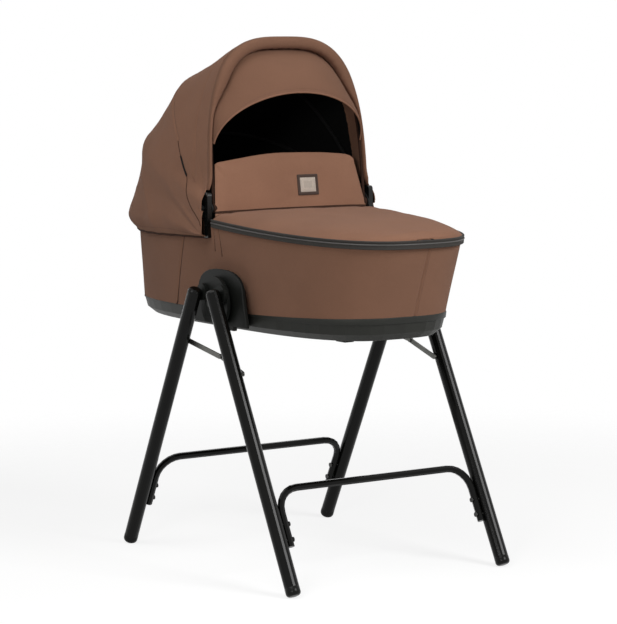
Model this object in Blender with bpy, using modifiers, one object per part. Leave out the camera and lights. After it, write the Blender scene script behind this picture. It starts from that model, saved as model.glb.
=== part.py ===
"""A folding stand with a carrycot on it.

Metres, +Z up, feet on z = 0. +X runs from the head end to the foot end, +Y is the left side.
Every place is written from the hub line, the line through both hub pivots brought down to the
floor, and the hub_line empty then sets the middle of the whole at x = 0.
"""

import math

import bmesh
import bpy
from mathutils import Matrix, Vector

# Sides and clearances
SIDES = (("left", 1), ("right", -1))
GAP = 0.0003  # between pieces that touch
BORE_GAP = 0.0003  # round a pin in its bore

# Legs
LEG_RADIUS = 0.014
LEG_WALL = 0.0015
LEG_FOOT_X = 0.314  # where the axis meets the floor
LEG_TOP_X = 0.031
LEG_ABOVE_HUB = 0.0256
LEG_DOME = 0.007  # round of the closed top
LEG_SIDES = 20
CUT_PAST = 0.010  # how far a cutting form runs past the faces that it opens

# Foot caps
CAP_RADIUS = 0.0143
CAP_HEIGHT = 0.016
CAP_ROUND = 0.003
CAP_STEM = 0.020
CAP_END_Z = 0.0036  # centre of the cap's end, before the floor cuts its lower lip flat

# Crossbars and their bolts
BAR_RADIUS = 0.0071
BAR_Z = 0.184
BAR_BEND = 0.045
BAR_END_Z = 0.085
BOLT_PITCH = 0.030
BOLT_FROM_END = 0.014
BOLT_HEAD_RADIUS = 0.0048
BOLT_HEAD = 0.002
BOLT_RADIUS = 0.003
BOLT_INTO_TUBE = 0.002

# Hubs
HUB_Z = 0.515
DISC_RADIUS = 0.0505
DISC_BELOW_HUB = 0.039  # where the disc is cut flat
DISC_THICKNESS = 0.007
ARM_THICKNESS = 0.0072
PAD_RADIUS = 0.0165
ARM_PIVOT_RADIUS = 0.020
ARM_LEG_RADIUS = 0.0175
PAD_REACH_X = 0.0348
PIN_RADIUS = 0.005
PIN_HEAD_RADIUS = 0.009
PIN_HEAD = 0.003

# Connectors that the carrycot drops on to
CONNECTOR_PLATE = (0.048, 0.070)  # along x and z
CONNECTOR_PLATE_THICKNESS = 0.0054
CONNECTOR_PLATE_DROP = 0.004  # its middle below the hub pivot
BRACKET_ROOM = 0.001  # between the plate and the cot's bracket
TONGUE_WIDTH = 0.030
TONGUE_BELOW_HUB = 0.035
TONGUE_ABOVE_HUB = 0.0195
TONGUE_REACH = 0.0159

# Folding stays
STAY_HEAD_DROP = 0.081  # pivots below the hub: on the head leg, at the knee and on the foot leg
STAY_KNEE_DROP = 0.1005
STAY_FOOT_DROP = 0.126
STAY_KNEE_X = 0.030
STAY_THICKNESS = 0.0025
STAY_HALF_WIDTH = 0.0048
RIVET_RADIUS = 0.0025
RIVET_HEAD_RADIUS = 0.0042
RIVET_HEAD = 0.0017
RIVET_PAST_WALL = 0.001

# Carrycot tray, made to hold the mattress
TRAY_X = -0.080
TRAY_SQUARE = 3.1
TRAY_TOP_DROP = 0.0235  # below the hub
TRAY_CREASE_DROP = 0.0205  # below the tray's top
TRAY_CREASE_IN = 0.005
TRAY_TURN_DROP = 0.033
TRAY_TURN_IN = (0.018, 0.021)  # along x and y
TRAY_DEPTH = 0.037
TRAY_FLOOR_IN = (0.047, 0.051)
TRAY_WALL = 0.003
GLIDE_SIZE = (0.030, 0.020)
GLIDE_DROP = 0.003  # below the tray's floor
GLIDE_X = 0.315  # from the tray's middle
GLIDE_Y = 0.073

# Carrycot wall and rim
RIM_FORWARD = 0.018  # its middle ahead of the tray's
RIM_OUTSIDE = (0.040, 0.010)  # beyond the tray along x and y
RIM_SQUARE = 2.9
WALL_HEIGHT = 0.1755  # from the tray to the rim, at the rim's middle
RIM_DROP = 0.0316  # from the rim's middle to its foot end, before both ends rise
RIM_ENDS_RISE = 0.008
WALL = 0.007
WALL_FLARE = 1.15
BAND_THICKNESS = 0.003
BAND_HEIGHT = 0.015
BAND_ABOVE_RIM = 0.0035
OVAL_STEPS = 48

# Cover over the foot half
COVER_THICKNESS = 0.003
COVER_IN = 0.0005
COVER_HEAD_X = -0.054
COVER_CROWN = 0.027
COVER_HEAD_CROWN = 0.0125
COVER_FOOT_CROWN = 0.012
COVER_SQUARE = 5.0
COVER_FULL = 0.09  # half width below which the crown shrinks
COVER_COLUMNS = 14

# Mattress
MATTRESS_LENGTH = 0.388  # half
MATTRESS_WIDTH = 0.155  # half
MATTRESS_ROOM = (0.024, 0.021)  # from its sides to the tray's outer face, along x and y
MATTRESS_THICKNESS = 0.064
MATTRESS_CROWN = 0.009
MATTRESS_DRAWN_IN = 0.005
MATTRESS_ROUND = 0.024

# Side brackets and their release buttons
BRACKET_WIDTH = 0.097  # half, at its foot
BRACKET_SHOULDER = 0.084  # half
BRACKET_BELOW_HUB = 0.043
BRACKET_SHOULDER_RISE = 0.013  # above the hub
BRACKET_ABOVE_HUB = 0.063
BRACKET_SQUARE = 2.6
BRACKET_DEPTH = 0.0275  # outside the tray's side
BRACKET_EDGE = 0.006  # thickness of its face plate
BRACKET_ROUND = 0.0015
BRACKET_ROOT = (0.46, 0.70)  # shares of its width and height where its blank starts
BRACKET_SINK = 0.011  # how far in its blank starts before the cot's shape is cut from it
SLOT_SIDE_GAP = 0.0005
BUTTON_X = 0.037
BUTTON_WIDTH = 0.018
BUTTON_DEPTH = 0.009
BUTTON_HEIGHT = 0.0175
BUTTON_ROUND = 0.0015
BUTTON_SHOWS = 0.0095  # below the bracket
BUTTON_SKIN = 0.002  # bracket wall outside its pocket
BUTTON_TRAVEL = 0.004
SPRING_ROOM = 0.0025

# Hood hinge
HOOD_X = -0.067
HOOD_ABOVE_RIM = 0.023
STRIP_WIDTH = 0.014
STRIP_BELOW_PIN = 0.056
STRIP_ABOVE_PIN = 0.032
STRIP_LET_IN = 0.0025  # into the wall
STRIP_DEPTH = 0.0095
HOOD_PIN_RADIUS = 0.004
HOOD_PIN_REACH = 0.0117
EYE_RADIUS = 0.009
MID_ARM_RADIUS = 0.0055
MID_ARM_LAP = 0.010  # how far the middle bow's flat ends reach along it

# Hood bows, as angles from +X up round the hinge, with their outer reach and half width
HOOD_SQUARE = 3.15
FRONT_ANGLE = 94.7
MID_ANGLE = 131.0
REAR_ANGLE = 160.0
HEM_ANGLE = 180.0
FRONT_REACH = 0.331
MID_REACH = 0.348
REAR_REACH = 0.4002
HEM_OUTSIDE = 0.0185  # behind the rim's head end
FRONT_INSIDE_STRIP = 0.0035
PANEL_ROOM = 0.0023  # between the front panel and the middle bow
FRONT_BOW_RADIUS = 0.003
BOW_RADIUS = 0.0035
CLOTH = 0.0015
LAP = 3.5  # degrees that each panel reaches under or over its neighbour
PANEL_SAG = 0.018
REAR_SAG = 0.011
BOW_SEAT = 1.5  # degrees of level cloth on each bow
STRIP_CLEARANCE = 0.003  # between a hinge strip's edge and the rear panel
PANEL_START = 0.060  # the moving panels begin this far from the hinge
SKIRT_DROP = 0.052  # below the hood's pin
ARCH_STEPS = 24

# Visor under the front bow
VISOR_BACK = 0.0035  # its ends behind the hood's pin
VISOR_INSIDE_PANEL = 0.0095  # its ends inside the front panel
VISOR_LOW = 0.125  # its ends above the pin
VISOR_RISE = 0.097
VISOR_FORWARD = 0.0485
VISOR_END_DEPTH = 0.021
VISOR_THICKNESS = 0.002

# Windscreen flap
FLAP_BEHIND_COVER = 0.0016
FLAP_ANGLE = 8.03  # degrees that it leans back
FLAP_BELOW_HINGE = 0.0025
FLAP_CORNER_RISE = 0.0945  # above its hinge
FLAP_TOP_RISE = 0.1105
FLAP_INSIDE_FRONT = 0.012  # its lower corners inside the front panel
FLAP_TAPER = 0.008
FLAP_THICKNESS = 0.008
FLAP_EDGE = 0.004
PATCH_SIZE = 0.041
PATCH_THICKNESS = 0.0012
PATCH_Y = 0.039
PATCH_RISE = 0.0465

# Worked out from the sizes above: the cot's widths set where the hubs and legs stand
TRAY_LENGTH = MATTRESS_LENGTH + MATTRESS_ROOM[0]
TRAY_WIDTH = MATTRESS_WIDTH + MATTRESS_ROOM[1]
RIM_X = TRAY_X + RIM_FORWARD
RIM_LENGTH = TRAY_LENGTH + RIM_OUTSIDE[0]
RIM_WIDTH = TRAY_WIDTH + RIM_OUTSIDE[1]
HEM_REACH = HOOD_X - RIM_X + RIM_LENGTH + HEM_OUTSIDE
BRACKET_OUT = TRAY_WIDTH + BRACKET_DEPTH
BRACKET_IN = TRAY_WIDTH - BRACKET_SINK
PLATE_IN = BRACKET_OUT + BRACKET_ROOM
PLATE_OUT = PLATE_IN + CONNECTOR_PLATE_THICKNESS
TONGUE_IN = PLATE_OUT - TONGUE_REACH
DISC_IN = PLATE_OUT + GAP
DISC_OUT = DISC_IN + DISC_THICKNESS
ARM_IN = DISC_OUT + GAP
ARM_OUT = ARM_IN + ARM_THICKNESS
LEG_INSIDE = ARM_OUT + GAP  # inner face of each leg
LEG_Y = LEG_INSIDE + LEG_RADIUS
TUBE_BORE = LEG_RADIUS - LEG_WALL
STAY_OUT = LEG_INSIDE - GAP
STAY_MIDDLE = STAY_OUT - STAY_THICKNESS
STAY_IN = STAY_MIDDLE - GAP - STAY_THICKNESS
BAR_Y = LEG_INSIDE - GAP - BAR_RADIUS
BUTTON_Y = BRACKET_OUT - BUTTON_SKIN - BUTTON_DEPTH / 2
STRIP_IN = RIM_WIDTH - STRIP_LET_IN
STRIP_OUT = STRIP_IN + STRIP_DEPTH
FRONT_WIDTH = STRIP_IN - FRONT_INSIDE_STRIP
MID_WIDTH = FRONT_WIDTH + PANEL_ROOM + 2 * BOW_RADIUS + CLOTH
REAR_WIDTH = STRIP_OUT + 2 * BOW_RADIUS + CLOTH + 2 * GAP
REAR_START = STRIP_WIDTH / 2 + STRIP_CLEARANCE

# Heights
LEG_TOP_Z = HUB_Z + LEG_ABOVE_HUB
LEG_LEAN = math.atan2(LEG_FOOT_X - LEG_TOP_X, LEG_TOP_Z)
PAD_REACH_Z = LEG_ABOVE_HUB - (PAD_REACH_X - LEG_TOP_X) / math.tan(LEG_LEAN)
TONGUE_LOW_Z = HUB_Z - TONGUE_BELOW_HUB
TONGUE_TOP_Z = HUB_Z + TONGUE_ABOVE_HUB
TRAY_TOP_Z = HUB_Z - TRAY_TOP_DROP
TRAY_FLOOR_Z = TRAY_TOP_Z - TRAY_DEPTH
BRACKET_LOW_Z = HUB_Z - BRACKET_BELOW_HUB
BUTTON_LOW_Z = BRACKET_LOW_Z - BUTTON_SHOWS
RIM_Z = TRAY_TOP_Z + WALL_HEIGHT
HOOD_Z = RIM_Z + HOOD_ABOVE_RIM

# The whole's two ends, which set where its middle is
WHOLE_BACK = HOOD_X - HEM_REACH
WHOLE_FRONT = RIM_X + RIM_LENGTH + GAP + BAND_THICKNESS
HUB_LINE_X = -(WHOLE_BACK + WHOLE_FRONT) / 2

for old in list(bpy.data.objects):
    bpy.data.objects.remove(old, do_unlink=True)

PARTS = bpy.data.collections.new("carrycot_stand")
CUTTERS = bpy.data.collections.new("cutters")
bpy.context.scene.collection.children.link(PARTS)
bpy.context.scene.collection.children.link(CUTTERS)


# Materials

def material(name, colour, roughness, metallic=0.0):
    """A Principled material in the photographed colour."""
    made = bpy.data.materials.new(name)
    made.use_nodes = True
    shader = made.node_tree.nodes["Principled BSDF"]
    shader.inputs["Base Color"].default_value = (*colour, 1.0)
    shader.inputs["Roughness"].default_value = roughness
    shader.inputs["Metallic"].default_value = metallic
    made.diffuse_color = (*colour, 1.0)
    return made


SATIN_BLACK = ((0.018, 0.018, 0.017), 0.35, 0.4)
MATT_BLACK = ((0.022, 0.022, 0.020), 0.6, 0.0)
RUBBER_BLACK = ((0.012, 0.012, 0.012), 0.85, 0.0)
STEEL = ((0.10, 0.10, 0.095), 0.4, 0.9)
GLOSS_BLACK = ((0.012, 0.012, 0.012), 0.2, 0.0)
BROWN_CLOTH = ((0.26, 0.135, 0.08), 0.9, 0.0)
DARK_TAPE = ((0.035, 0.032, 0.030), 0.8, 0.0)
PALE_QUILT = ((0.62, 0.60, 0.55), 0.95, 0.0)


# Bodies: one empty on each joint's axis

ORIGINS = {}


def body(name, parent, origin):
    """An empty that carries the pieces that move together, set on their joint's axis."""
    empty = bpy.data.objects.new(name, None)
    PARTS.objects.link(empty)
    ORIGINS[name] = Vector(origin)
    empty.location = Vector(origin)
    if parent:
        empty.parent = bpy.data.objects[parent]
        empty.location -= ORIGINS[parent]
    return name


HUB_LINE = bpy.data.objects.new("hub_line", None)
PARTS.objects.link(HUB_LINE)
HUB_LINE.location = (HUB_LINE_X, 0.0, 0.0)
ORIGINS["hub_line"] = Vector((0.0, 0.0, 0.0))


def linked(name, data, collection=PARTS):
    """A new object for this mesh or curve."""
    made = bpy.data.objects.new(name, data)
    collection.objects.link(made)
    return made


def put(piece, name, carrier, look):
    """Names a piece, gives it its material and hangs it on its body, where it stands."""
    piece.name = name
    piece.data.name = name
    piece.data.materials.clear()
    piece.data.materials.append(material(name, *look))
    piece.location -= ORIGINS[carrier]
    piece.parent = bpy.data.objects[carrier]
    return piece


def as_tool(piece):
    """Sets a piece aside as a cutter or a joined form, out of the render."""
    PARTS.objects.unlink(piece)
    CUTTERS.objects.link(piece)
    piece.hide_render = True
    piece.display_type = "WIRE"
    piece.parent = HUB_LINE
    return piece


def combined(piece, tool, operation):
    """Adds a Boolean of this piece with another, which becomes a tool."""
    step = piece.modifiers.new(operation.lower(), "BOOLEAN")
    step.operation = operation
    step.solver = "EXACT"
    step.object = tool if tool.hide_render else as_tool(tool)
    return piece


def cut(piece, tool):
    """Takes the tool's shape out of the piece."""
    return combined(piece, tool, "DIFFERENCE")


def join(piece, tool):
    """Makes the piece and the tool's shape one solid."""
    return combined(piece, tool, "UNION")


def rounded(piece, width, segments=2):
    """Rounds a piece's sharp edges."""
    step = piece.modifiers.new("edges", "BEVEL")
    step.width = width
    step.segments = segments
    step.limit_method = "ANGLE"
    step.angle_limit = math.radians(40)
    return piece


def smooth(piece):
    """Shades round faces smooth and keeps sharp edges."""
    piece.data.shade_smooth()
    piece.data.set_sharp_from_angle(angle=math.radians(35))
    return piece


# Primitive shapes

def block(name, size, centre):
    """A box of this size about its middle."""
    shape = bmesh.new()
    bmesh.ops.create_cube(shape, size=1.0, matrix=Matrix.Diagonal((*size, 1.0)))
    data = bpy.data.meshes.new(name)
    shape.to_mesh(data)
    shape.free()
    made = linked(name, data)
    made.location = centre
    return made


def span(name, low, high):
    """A box between two corners."""
    low, high = Vector(low), Vector(high)
    return block(name, high - low, (low + high) / 2)


def rod(name, radius, start, end, sides=20):
    """A cylinder from one point to another."""
    start, end = Vector(start), Vector(end)
    along = end - start
    turn = along.to_track_quat("Z", "Y").to_matrix().to_4x4()
    shape = bmesh.new()
    bmesh.ops.create_cone(
        shape, cap_ends=True, segments=sides, radius1=radius, radius2=radius, depth=along.length, matrix=turn
    )
    data = bpy.data.meshes.new(name)
    shape.to_mesh(data)
    shape.free()
    made = linked(name, data)
    made.location = (start + end) / 2
    return smooth(made)


def cross_rod(name, radius, x, z, y_from, y_to, sides=20):
    """A cylinder along Y."""
    return rod(name, radius, (x, y_from, z), (x, y_to, z), sides)


def turned(name, profile, steps):
    """A profile of (radius, height) points turned about Z, down its outer side first."""
    data = bpy.data.meshes.new(name)
    links = [(i, i + 1) for i in range(len(profile) - 1)]
    data.from_pydata([(radius, 0.0, height) for radius, height in profile], links, [])
    made = linked(name, data)
    step = made.modifiers.new("turn", "SCREW")
    step.steps = steps
    step.render_steps = steps
    step.use_merge_vertices = True
    step.merge_threshold = 0.00001
    step.use_smooth_shade = True
    return made


def arc(centre, radius, start, end, steps):
    """Points on a circle between two angles in degrees."""
    angles = [math.radians(start + (end - start) * i / steps) for i in range(steps + 1)]
    return [(centre[0] + radius * math.cos(a), centre[1] + radius * math.sin(a)) for a in angles]


def as_mesh(curve_object):
    """The mesh of a curve object, with its caps welded on, in its place."""
    bpy.context.view_layer.update()
    seen = curve_object.evaluated_get(bpy.context.evaluated_depsgraph_get())
    data = bpy.data.meshes.new_from_object(seen)
    shape = bmesh.new()
    shape.from_mesh(data)
    bmesh.ops.remove_doubles(shape, verts=shape.verts, dist=0.00002)
    bmesh.ops.recalc_face_normals(shape, faces=shape.faces)
    shape.to_mesh(data)
    shape.free()
    made = linked(curve_object.name, data)
    made.matrix_world = curve_object.matrix_world
    bpy.data.objects.remove(curve_object, do_unlink=True)
    return smooth(made)


def plate(name, outline, y_from, y_to):
    """An outline of (x, z) points made a plate between two values of y."""
    curve = bpy.data.curves.new(name, "CURVE")
    curve.dimensions = "2D"
    curve.fill_mode = "BOTH"
    curve.extrude = abs(y_to - y_from) / 2
    line = curve.splines.new("POLY")
    line.points.add(len(outline) - 1)
    for point, (x, z) in zip(line.points, outline):
        point.co = (x, z, 0.0, 1.0)
    line.use_cyclic_u = True
    made = linked(name, curve)
    made.rotation_euler = (math.pi / 2, 0.0, 0.0)
    made.location = (0.0, (y_from + y_to) / 2, 0.0)
    return as_mesh(made)


def tube(name, points, radius, resolution=2):
    """A round bar along a line of points."""
    curve = bpy.data.curves.new(name, "CURVE")
    curve.dimensions = "3D"
    curve.bevel_depth = radius
    curve.bevel_resolution = resolution
    curve.use_fill_caps = True
    line = curve.splines.new("POLY")
    line.points.add(len(points) - 1)
    for point, place in zip(line.points, points):
        point.co = (*place, 1.0)
    return as_mesh(linked(name, curve))


def lofted(name, rings, closed_ring=True, looped=False, capped=True):
    """Rings of points joined one to the next: capped at both ends, looped on itself, or left open."""
    count = len(rings[0])
    data = bpy.data.meshes.new(name)
    shape = bmesh.new()
    rows = [[shape.verts.new(point) for point in ring] for ring in rings]
    pairs = list(zip(rows, rows[1:]))
    if looped:
        pairs.append((rows[-1], rows[0]))
    for low, high in pairs:
        for i in range(count if closed_ring else count - 1):
            j = (i + 1) % count
            shape.faces.new((low[i], low[j], high[j], high[i]))
    if capped and not looped:
        shape.faces.new(list(reversed(rows[0])))
        shape.faces.new(rows[-1])
    bmesh.ops.recalc_face_normals(shape, faces=shape.faces)
    shape.to_mesh(data)
    shape.free()
    return smooth(linked(name, data))


def shell(piece, thickness):
    """Gives an open surface a wall on its inner side."""
    step = piece.modifiers.new("wall", "SOLIDIFY")
    step.thickness = thickness
    step.offset = -1.0
    step.use_even_offset = True
    return piece


def capsule(first, first_radius, second, second_radius, steps=10):
    """The outline round two circles, as (x, z) points."""
    along = Vector(second) - Vector(first)
    heading = math.degrees(math.atan2(along.y, along.x))
    splay = math.degrees(math.acos((first_radius - second_radius) / along.length))
    near = arc(first, first_radius, heading + splay, heading + 360 - splay, steps)
    far = arc(second, second_radius, heading - splay, heading + splay, steps)
    return near + far


# Legs

def leg_x(z):
    """How far a leg's axis is from the hub line at this height."""
    return LEG_FOOT_X - z * math.tan(LEG_LEAN)


def leg_point(end, z, y):
    """A point at a leg axis' height and at this y, for the head end (-1) or the foot end (1)."""
    return Vector((end * leg_x(z), y, z))


CAP_END_LENGTH = (LEG_TOP_Z - CAP_END_Z) / math.cos(LEG_LEAN)  # from a leg's top to its cap's end
TUBE_LENGTH = CAP_END_LENGTH - CAP_HEIGHT - GAP


def leg_turned(name, profile, end, side):
    """A profile turned about a leg's axis, with height 0 at the leg's top and the foot below."""
    made = turned(name, profile, LEG_SIDES)
    made.rotation_euler = (0.0, -end * LEG_LEAN, 0.0)
    made.location = leg_point(end, LEG_TOP_Z, side * LEG_Y)
    return made


def leg_tube(end, side):
    """One leg: a tube with a domed, closed top."""
    outer = arc((LEG_RADIUS - LEG_DOME, -LEG_DOME), LEG_DOME, 90, 0, 3)
    inner_round = LEG_DOME - LEG_WALL
    inner = arc((TUBE_BORE - inner_round, -LEG_DOME), inner_round, 0, 90, 2)
    foot = [(LEG_RADIUS, -TUBE_LENGTH), (TUBE_BORE, -TUBE_LENGTH)]
    profile = [(0.0, 0.0)] + outer + foot + inner + [(0.0, -LEG_WALL)]
    return leg_turned("leg", profile, end, side)


def foot_cap(end, side):
    """A rubber cap with a stem in the tube, cut flat where it stands."""
    low = -CAP_END_LENGTH
    shoulder = low + CAP_HEIGHT
    stem = TUBE_BORE - GAP
    profile = [(0.0, shoulder + CAP_STEM), (stem, shoulder + CAP_STEM), (stem, shoulder), (CAP_RADIUS, shoulder)]
    profile += arc((CAP_RADIUS - CAP_ROUND, low + CAP_ROUND), CAP_ROUND, 0, -90, 3)
    profile.append((0.0, low))
    made = leg_turned("cap", profile, end, side)
    reach = 4 * CAP_RADIUS
    below = Vector((end * leg_x(0.0), side * LEG_Y, -reach / 2))
    floor = block("floor_cut", (reach, reach, reach), below)
    return cut(made, floor)


# Crossbars

def bar_route():
    """Half of a crossbar in its legs' plane: y, and the distance along the leg from its top."""
    low = (LEG_TOP_Z - BAR_END_Z) / math.cos(LEG_LEAN)
    high = (LEG_TOP_Z - BAR_Z) / math.cos(LEG_LEAN)
    bend = arc((BAR_Y - BAR_BEND, high + BAR_BEND), BAR_BEND, 0, -90, 6)
    return [(BAR_Y, low)] + bend


def crossbar(end):
    """A round bar bent into a U, its ends running down the inside of both legs."""
    down = Vector((end * math.sin(LEG_LEAN), 0.0, -math.cos(LEG_LEAN)))
    top = leg_point(end, LEG_TOP_Z, 0.0)
    half = [top + down * along + Vector((0.0, y, 0.0)) for y, along in bar_route()]
    other = [Vector((point.x, -point.y, point.z)) for point in reversed(half)]
    return tube("crossbar", half + other, BAR_RADIUS)


def bolt_places():
    """The heights of the two bolts at each end of a crossbar."""
    rise = math.cos(LEG_LEAN)
    return [BAR_END_Z + (BOLT_FROM_END + BOLT_PITCH * i) * rise for i in range(2)]


BAR_INSIDE = BAR_Y - BAR_RADIUS
BOLT_TIP = LEG_INSIDE + LEG_WALL + BOLT_INTO_TUBE


def bolt(end, side, z):
    """A bolt from the crossbar's inner side through it and into the leg."""
    x = end * leg_x(z)
    head_from = BAR_INSIDE - GAP - BOLT_HEAD
    shank = cross_rod("bolt", BOLT_RADIUS, x, z, side * (head_from + BOLT_HEAD / 2), side * BOLT_TIP, 12)
    head = cross_rod("bolt_head", BOLT_HEAD_RADIUS, x, z, side * head_from, side * (head_from + BOLT_HEAD), 12)
    return join(shank, head)


def bolt_bore(end, side, z):
    """The hole that a bolt passes through, in the bar and the leg's inner wall."""
    x = end * leg_x(z)
    return cross_rod("bolt_bore", BOLT_RADIUS + BORE_GAP, x, z, side * (BAR_INSIDE - 0.01), side * LEG_Y, 12)


# Hubs

def hub_disc(side):
    """The disc on the head leg, with the pad that meets the leg."""
    made = cross_rod("disc", DISC_RADIUS, 0.0, HUB_Z, side * DISC_IN, side * DISC_OUT, 32)
    pad_z = HUB_Z + PAD_REACH_Z
    pad = cross_rod("pad", PAD_RADIUS, -PAD_REACH_X, pad_z, side * (DISC_IN + DISC_OUT) / 2, side * ARM_OUT, 20)
    bore = cross_rod("disc_bore", PIN_RADIUS + BORE_GAP, 0.0, HUB_Z, side * PLATE_IN, side * LEG_Y)
    made = cut(join(made, pad), bore)
    planes = sorted((side * PLATE_IN, side * LEG_Y))
    low = (-DISC_RADIUS - CUT_PAST, planes[0], HUB_Z - DISC_RADIUS - CUT_PAST)
    high = (DISC_RADIUS + CUT_PAST, planes[1], HUB_Z - DISC_BELOW_HUB)
    return cut(made, span("disc_foot", low, high))


def hub_arm(side):
    """The arm on the foot leg, turning on the hub pin."""
    outline = capsule((0.0, HUB_Z), ARM_PIVOT_RADIUS, (PAD_REACH_X, HUB_Z + PAD_REACH_Z), ARM_LEG_RADIUS)
    made = plate("arm", outline, side * ARM_IN, side * ARM_OUT)
    bore = cross_rod("arm_bore", PIN_RADIUS + BORE_GAP, 0.0, HUB_Z, side * PLATE_IN, side * LEG_Y)
    return cut(made, bore)


def hub_pin(side):
    """The pin through disc and arm, with its head outside."""
    head_in = ARM_OUT + GAP
    head_out = head_in + PIN_HEAD
    made = cross_rod("pin", PIN_RADIUS, 0.0, HUB_Z, side * DISC_IN, side * (head_in + PIN_HEAD / 2))
    head = cross_rod("pin_head", PIN_HEAD_RADIUS, 0.0, HUB_Z, side * head_in, side * head_out)
    return join(made, head)


def connector(side):
    """The plate on the disc with the tongue that the carrycot drops on to."""
    middle = (0.0, side * (PLATE_IN + PLATE_OUT) / 2, HUB_Z - CONNECTOR_PLATE_DROP)
    made = block("connector", (CONNECTOR_PLATE[0], CONNECTOR_PLATE_THICKNESS, CONNECTOR_PLATE[1]), middle)
    half = TONGUE_WIDTH / 2
    tongue = span(
        "tongue",
        (-half, min(side * TONGUE_IN, side * (PLATE_IN + GAP)), TONGUE_LOW_Z),
        (half, max(side * TONGUE_IN, side * (PLATE_IN + GAP)), TONGUE_TOP_Z),
    )
    return join(made, tongue)


# Stays

STAY_HEAD = (-leg_x(HUB_Z - STAY_HEAD_DROP), HUB_Z - STAY_HEAD_DROP)
STAY_KNEE = (STAY_KNEE_X, HUB_Z - STAY_KNEE_DROP)
STAY_FOOT = (leg_x(HUB_Z - STAY_FOOT_DROP), HUB_Z - STAY_FOOT_DROP)


def stay(side, first, second, y_in, y_out, bores):
    """A flat link between two pivots, with a bore at each pivot named."""
    made = plate("stay", capsule(first, STAY_HALF_WIDTH, second, STAY_HALF_WIDTH, 8), side * y_in, side * y_out)
    for x, z in bores:
        hole = cross_rod("stay_bore", RIVET_RADIUS + BORE_GAP, x, z, side * (y_in - 0.01), side * (y_out + 0.01), 12)
        cut(made, hole)
    return made


def rivet(side, place, head_out, tip):
    """A rivet with its head on the inner side."""
    x, z = place
    head_in = head_out - RIVET_HEAD
    shank = cross_rod("rivet", RIVET_RADIUS, x, z, side * (head_in + RIVET_HEAD / 2), side * tip, 12)
    head = cross_rod("rivet_head", RIVET_HEAD_RADIUS, x, z, side * head_in, side * head_out, 12)
    return join(shank, head)


def leg_rivet_bore(side, place):
    """The hole for a rivet in a leg's inner wall."""
    x, z = place
    return cross_rod("leg_bore", RIVET_RADIUS + BORE_GAP, x, z, side * (LEG_INSIDE - CUT_PAST), side * LEG_Y, 12)


# Carrycot outlines

def oval(middle, length, width, square, steps=OVAL_STEPS):
    """A rounded oblong in plan, as (x, y) points from the foot end round by the left side."""
    points = []
    for i in range(steps):
        turn = 2 * math.pi * i / steps
        c, s = math.cos(turn), math.sin(turn)
        x = middle + length * math.copysign(abs(c) ** (2 / square), c)
        y = width * math.copysign(abs(s) ** (2 / square), s)
        points.append((x, y if abs(s) > 1e-9 else 0.0))
    return points


def rim_z(x):
    """The height of the wall's top edge."""
    share = (x - RIM_X) / RIM_LENGTH
    return RIM_Z - RIM_DROP * share + RIM_ENDS_RISE * share**2


def wall_ring(t, out, lift=0.0):
    """The wall's outline at a share t of its height, moved out (or in) and up."""
    flare = t**WALL_FLARE
    mix = [low + (high - low) * flare for low, high in (
        (TRAY_X, RIM_X), (TRAY_LENGTH, RIM_LENGTH), (TRAY_WIDTH, RIM_WIDTH), (TRAY_SQUARE, RIM_SQUARE)
    )]
    middle, length, width, square = mix
    low_z = TRAY_TOP_Z + GAP
    ring = []
    for x, y in oval(middle, length + out, width + out, square):
        ring.append((x, y, low_z + (rim_z(x) - low_z) * t + lift))
    return ring


def tray_rings(out):
    """The tray's outer outlines from its top edge down to its floor."""
    levels = (
        (TRAY_TOP_Z, 0.0, 0.0),
        (TRAY_TOP_Z - TRAY_CREASE_DROP, TRAY_CREASE_IN, TRAY_CREASE_IN),
        (TRAY_TOP_Z - TRAY_TURN_DROP, *TRAY_TURN_IN),
        (TRAY_FLOOR_Z, *TRAY_FLOOR_IN),
    )
    rings = []
    for z, length_in, width_in in levels:
        plan = oval(TRAY_X, TRAY_LENGTH - length_in + out, TRAY_WIDTH - width_in + out, TRAY_SQUARE)
        rings.append([(x, y, z) for x, y in plan])
    return rings


def tray():
    """The hard tray under the carrycot, with four glides."""
    rings = tray_rings(0.0)
    inside = []
    for x_y_z_ring, drop in zip(tray_rings(-TRAY_WALL), (0.0, 0.0, TRAY_WALL, TRAY_WALL)):
        inside.append([(x, y, z + drop) for x, y, z in x_y_z_ring])
    made = lofted("tray", list(reversed(rings)) + inside)
    low = TRAY_FLOOR_Z - GLIDE_DROP
    height = GLIDE_DROP + TRAY_WALL / 2
    for end in (1, -1):
        for _, side in SIDES:
            middle = (TRAY_X + end * GLIDE_X, side * GLIDE_Y, low + height / 2)
            join(made, block("glide", (*GLIDE_SIZE, height), middle))
    return made


def cot_wall():
    """The padded wall between the tray and the rim, notched for the hood's hinge strips."""
    shares = [i / 5 for i in range(6)]
    outside = [wall_ring(t, 0.0) for t in shares]
    inside = [wall_ring(t, -WALL) for t in reversed(shares)]
    made = lofted("wall", outside + inside, looped=True)
    for _, side in SIDES:
        half = STRIP_WIDTH / 2 + GAP
        y_in = side * (STRIP_IN - GAP)
        y_out = side * (STRIP_OUT + CUT_PAST)
        low = (HOOD_X - half, min(y_in, y_out), HOOD_Z - STRIP_BELOW_PIN - GAP)
        high = (HOOD_X + half, max(y_in, y_out), HOOD_Z + STRIP_ABOVE_PIN)
        cut(made, span("strip_notch", low, high))
    return made


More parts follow.
